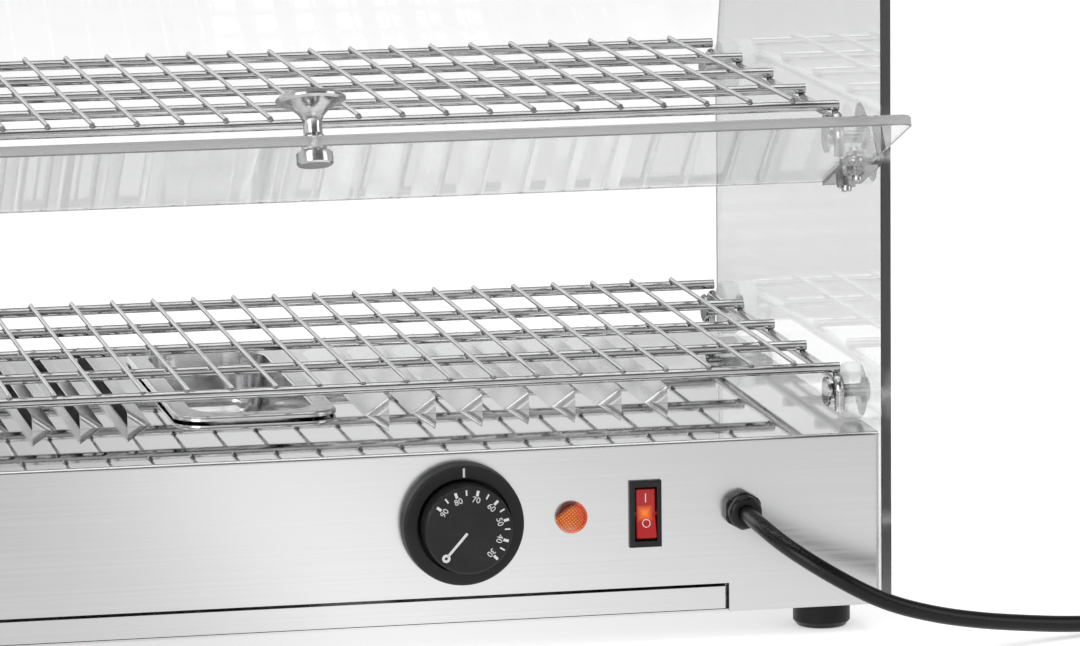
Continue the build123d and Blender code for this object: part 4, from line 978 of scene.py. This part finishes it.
# room: white behind the case, a soft studio gradient in reflections, a plain level for light
roomValues = {
    "level": 0.55,
    # brightness from straight down to straight up, on the operator's side and on the customer's side
    "front": [(0.0, 0.8), (0.48, 1.1), (0.56, 1.15), (0.66, 0.7), (0.78, 0.15), (1.0, 0.08)],
    "back": [(0.0, 0.9), (0.5, 0.9), (0.60, 0.9), (0.75, 0.75), (0.88, 0.30), (1.0, 0.15)],
    # and from left to right
    "side": [(0.0, 0.95), (0.3, 1.2), (0.45, 1.2), (0.51, 0.9), (0.548, 0.64), (0.572, 0.92), (0.60, 0.92),
             (0.622, 0.76), (0.66, 0.7), (0.8, 0.45), (1.0, 0.35)],
    "turnover": (-0.2, 0.2),  # where the operator's side passes into the customer's
}
world = bpy.data.worlds.new("studio")
world.use_nodes = True
scene.world = world
roomTree = world.node_tree
roomTree.nodes.clear()

roomOut = put(roomTree, "ShaderNodeOutputWorld")
roomRays = put(roomTree, "ShaderNodeLightPath")
roomWay = put(roomTree, "ShaderNodeTexCoord")
roomSplit = put(roomTree, "ShaderNodeSeparateXYZ")
join(roomTree, roomWay, "Generated", roomSplit, 0)
roomRise = between(roomTree, roomSplit, "Z", 0.0, 1.0, -1.0, 1.0)
roomAside = between(roomTree, roomSplit, "X", 0.0, 1.0, -1.0, 1.0)
roomDepth = between(roomTree, roomSplit, "Y", 0.0, 1.0, *roomValues["turnover"])
roomFront = brightness(roomTree, roomRise, 0, roomValues["front"])
roomBack = brightness(roomTree, roomRise, 0, roomValues["back"])
roomSide = brightness(roomTree, roomAside, 0, roomValues["side"])
roomBlend = put(roomTree, "ShaderNodeMix", data_type="RGBA")
roomShade = put(roomTree, "ShaderNodeMix", {0: 1.0}, data_type="RGBA", blend_type="MULTIPLY")
join(roomTree, roomDepth, 0, roomBlend, 0)
join(roomTree, roomFront, 0, roomBlend, 6)
join(roomTree, roomBack, 0, roomBlend, 7)
join(roomTree, roomBlend, 2, roomShade, 6)
join(roomTree, roomSide, 0, roomShade, 7)
roomLight = put(roomTree, "ShaderNodeBackground", {"Color": (1.0, 1.0, 1.0, 1.0), "Strength": roomValues["level"]})
roomGloss = put(roomTree, "ShaderNodeBackground", {"Strength": 1.0})
roomWhite = put(roomTree, "ShaderNodeBackground", {"Color": (1.0, 1.0, 1.0, 1.0), "Strength": 1.0})
join(roomTree, roomShade, 2, roomGloss, "Color")

# a path that met metal or a reflection sees the gradient, also through glass; one that only crossed glass sees white
roomMet = metMirror(roomTree, roomRays)
roomClear = put(roomTree, "ShaderNodeMath", {0: 1.0}, operation="SUBTRACT")
roomThrough = put(roomTree, "ShaderNodeMath", operation="MULTIPLY")
roomSeen = put(roomTree, "ShaderNodeMath", operation="MAXIMUM")
roomMirror = put(roomTree, "ShaderNodeMath", operation="MAXIMUM")
roomFirst = put(roomTree, "ShaderNodeMixShader")
roomSecond = put(roomTree, "ShaderNodeMixShader")
join(roomTree, roomMet, 0, roomClear, 1)
join(roomTree, roomClear, 0, roomThrough, 0)
join(roomTree, roomRays, "Is Transmission Ray", roomThrough, 1)
join(roomTree, roomRays, "Is Camera Ray", roomSeen, 0)
join(roomTree, roomThrough, 0, roomSeen, 1)
join(roomTree, roomRays, "Is Glossy Ray", roomMirror, 0)
join(roomTree, roomRays, "Is Transmission Ray", roomMirror, 1)
join(roomTree, roomMirror, 0, roomFirst, 0)
join(roomTree, roomLight, 0, roomFirst, 1)
join(roomTree, roomGloss, 0, roomFirst, 2)
join(roomTree, roomSeen, 0, roomSecond, 0)
join(roomTree, roomFirst, 0, roomSecond, 1)
join(roomTree, roomWhite, 0, roomSecond, 2)
join(roomTree, roomSecond, 0, roomOut, "Surface")

# lights: large soft boxes
softBoxes = {
    "overhead": {"place": (0.0, -0.2, 2.8), "aim": (0.0, 0.0, 0.1), "size": (3.0, 2.4), "power": 32.0,
                 "mirrored": False},
    "frontLeft": {"place": (-2.6, -2.8, 1.5), "aim": (0.0, -0.1, 0.1), "size": (2.2, 2.2), "power": 40.0,
                  "mirrored": True},
    "leftBehind": {"place": (-1.3, 1.0, 2.5), "aim": (0.0, 0.1, 0.1), "size": (1.2, 1.0), "power": 6.0,
                   "mirrored": True},
    "right": {"place": (2.8, -1.4, 1.6), "aim": (0.0, -0.1, 0.1), "size": (1.6, 2.2), "power": 18.0,
              "mirrored": True},
}
for boxName, values in softBoxes.items():
    boxData = bpy.data.lights.new(boxName, "AREA")
    boxData.shape = "RECTANGLE"
    boxData.size, boxData.size_y = values["size"]
    boxData.energy = values["power"]
    softBox = bpy.data.objects.new(boxName, boxData)
    softBox.location = values["place"]
    aim = np.asarray(values["aim"]) - np.asarray(values["place"])
    softBox.rotation_euler = (math.atan2(math.hypot(aim[0], aim[1]), -aim[2]), 0.0, math.atan2(-aim[0], aim[1]))
    softBox.visible_camera = False
    softBox.visible_glossy = values["mirrored"]
    scene.collection.objects.link(softBox)
print("floor, room and lights set")

bpy.context.view_layer.update()
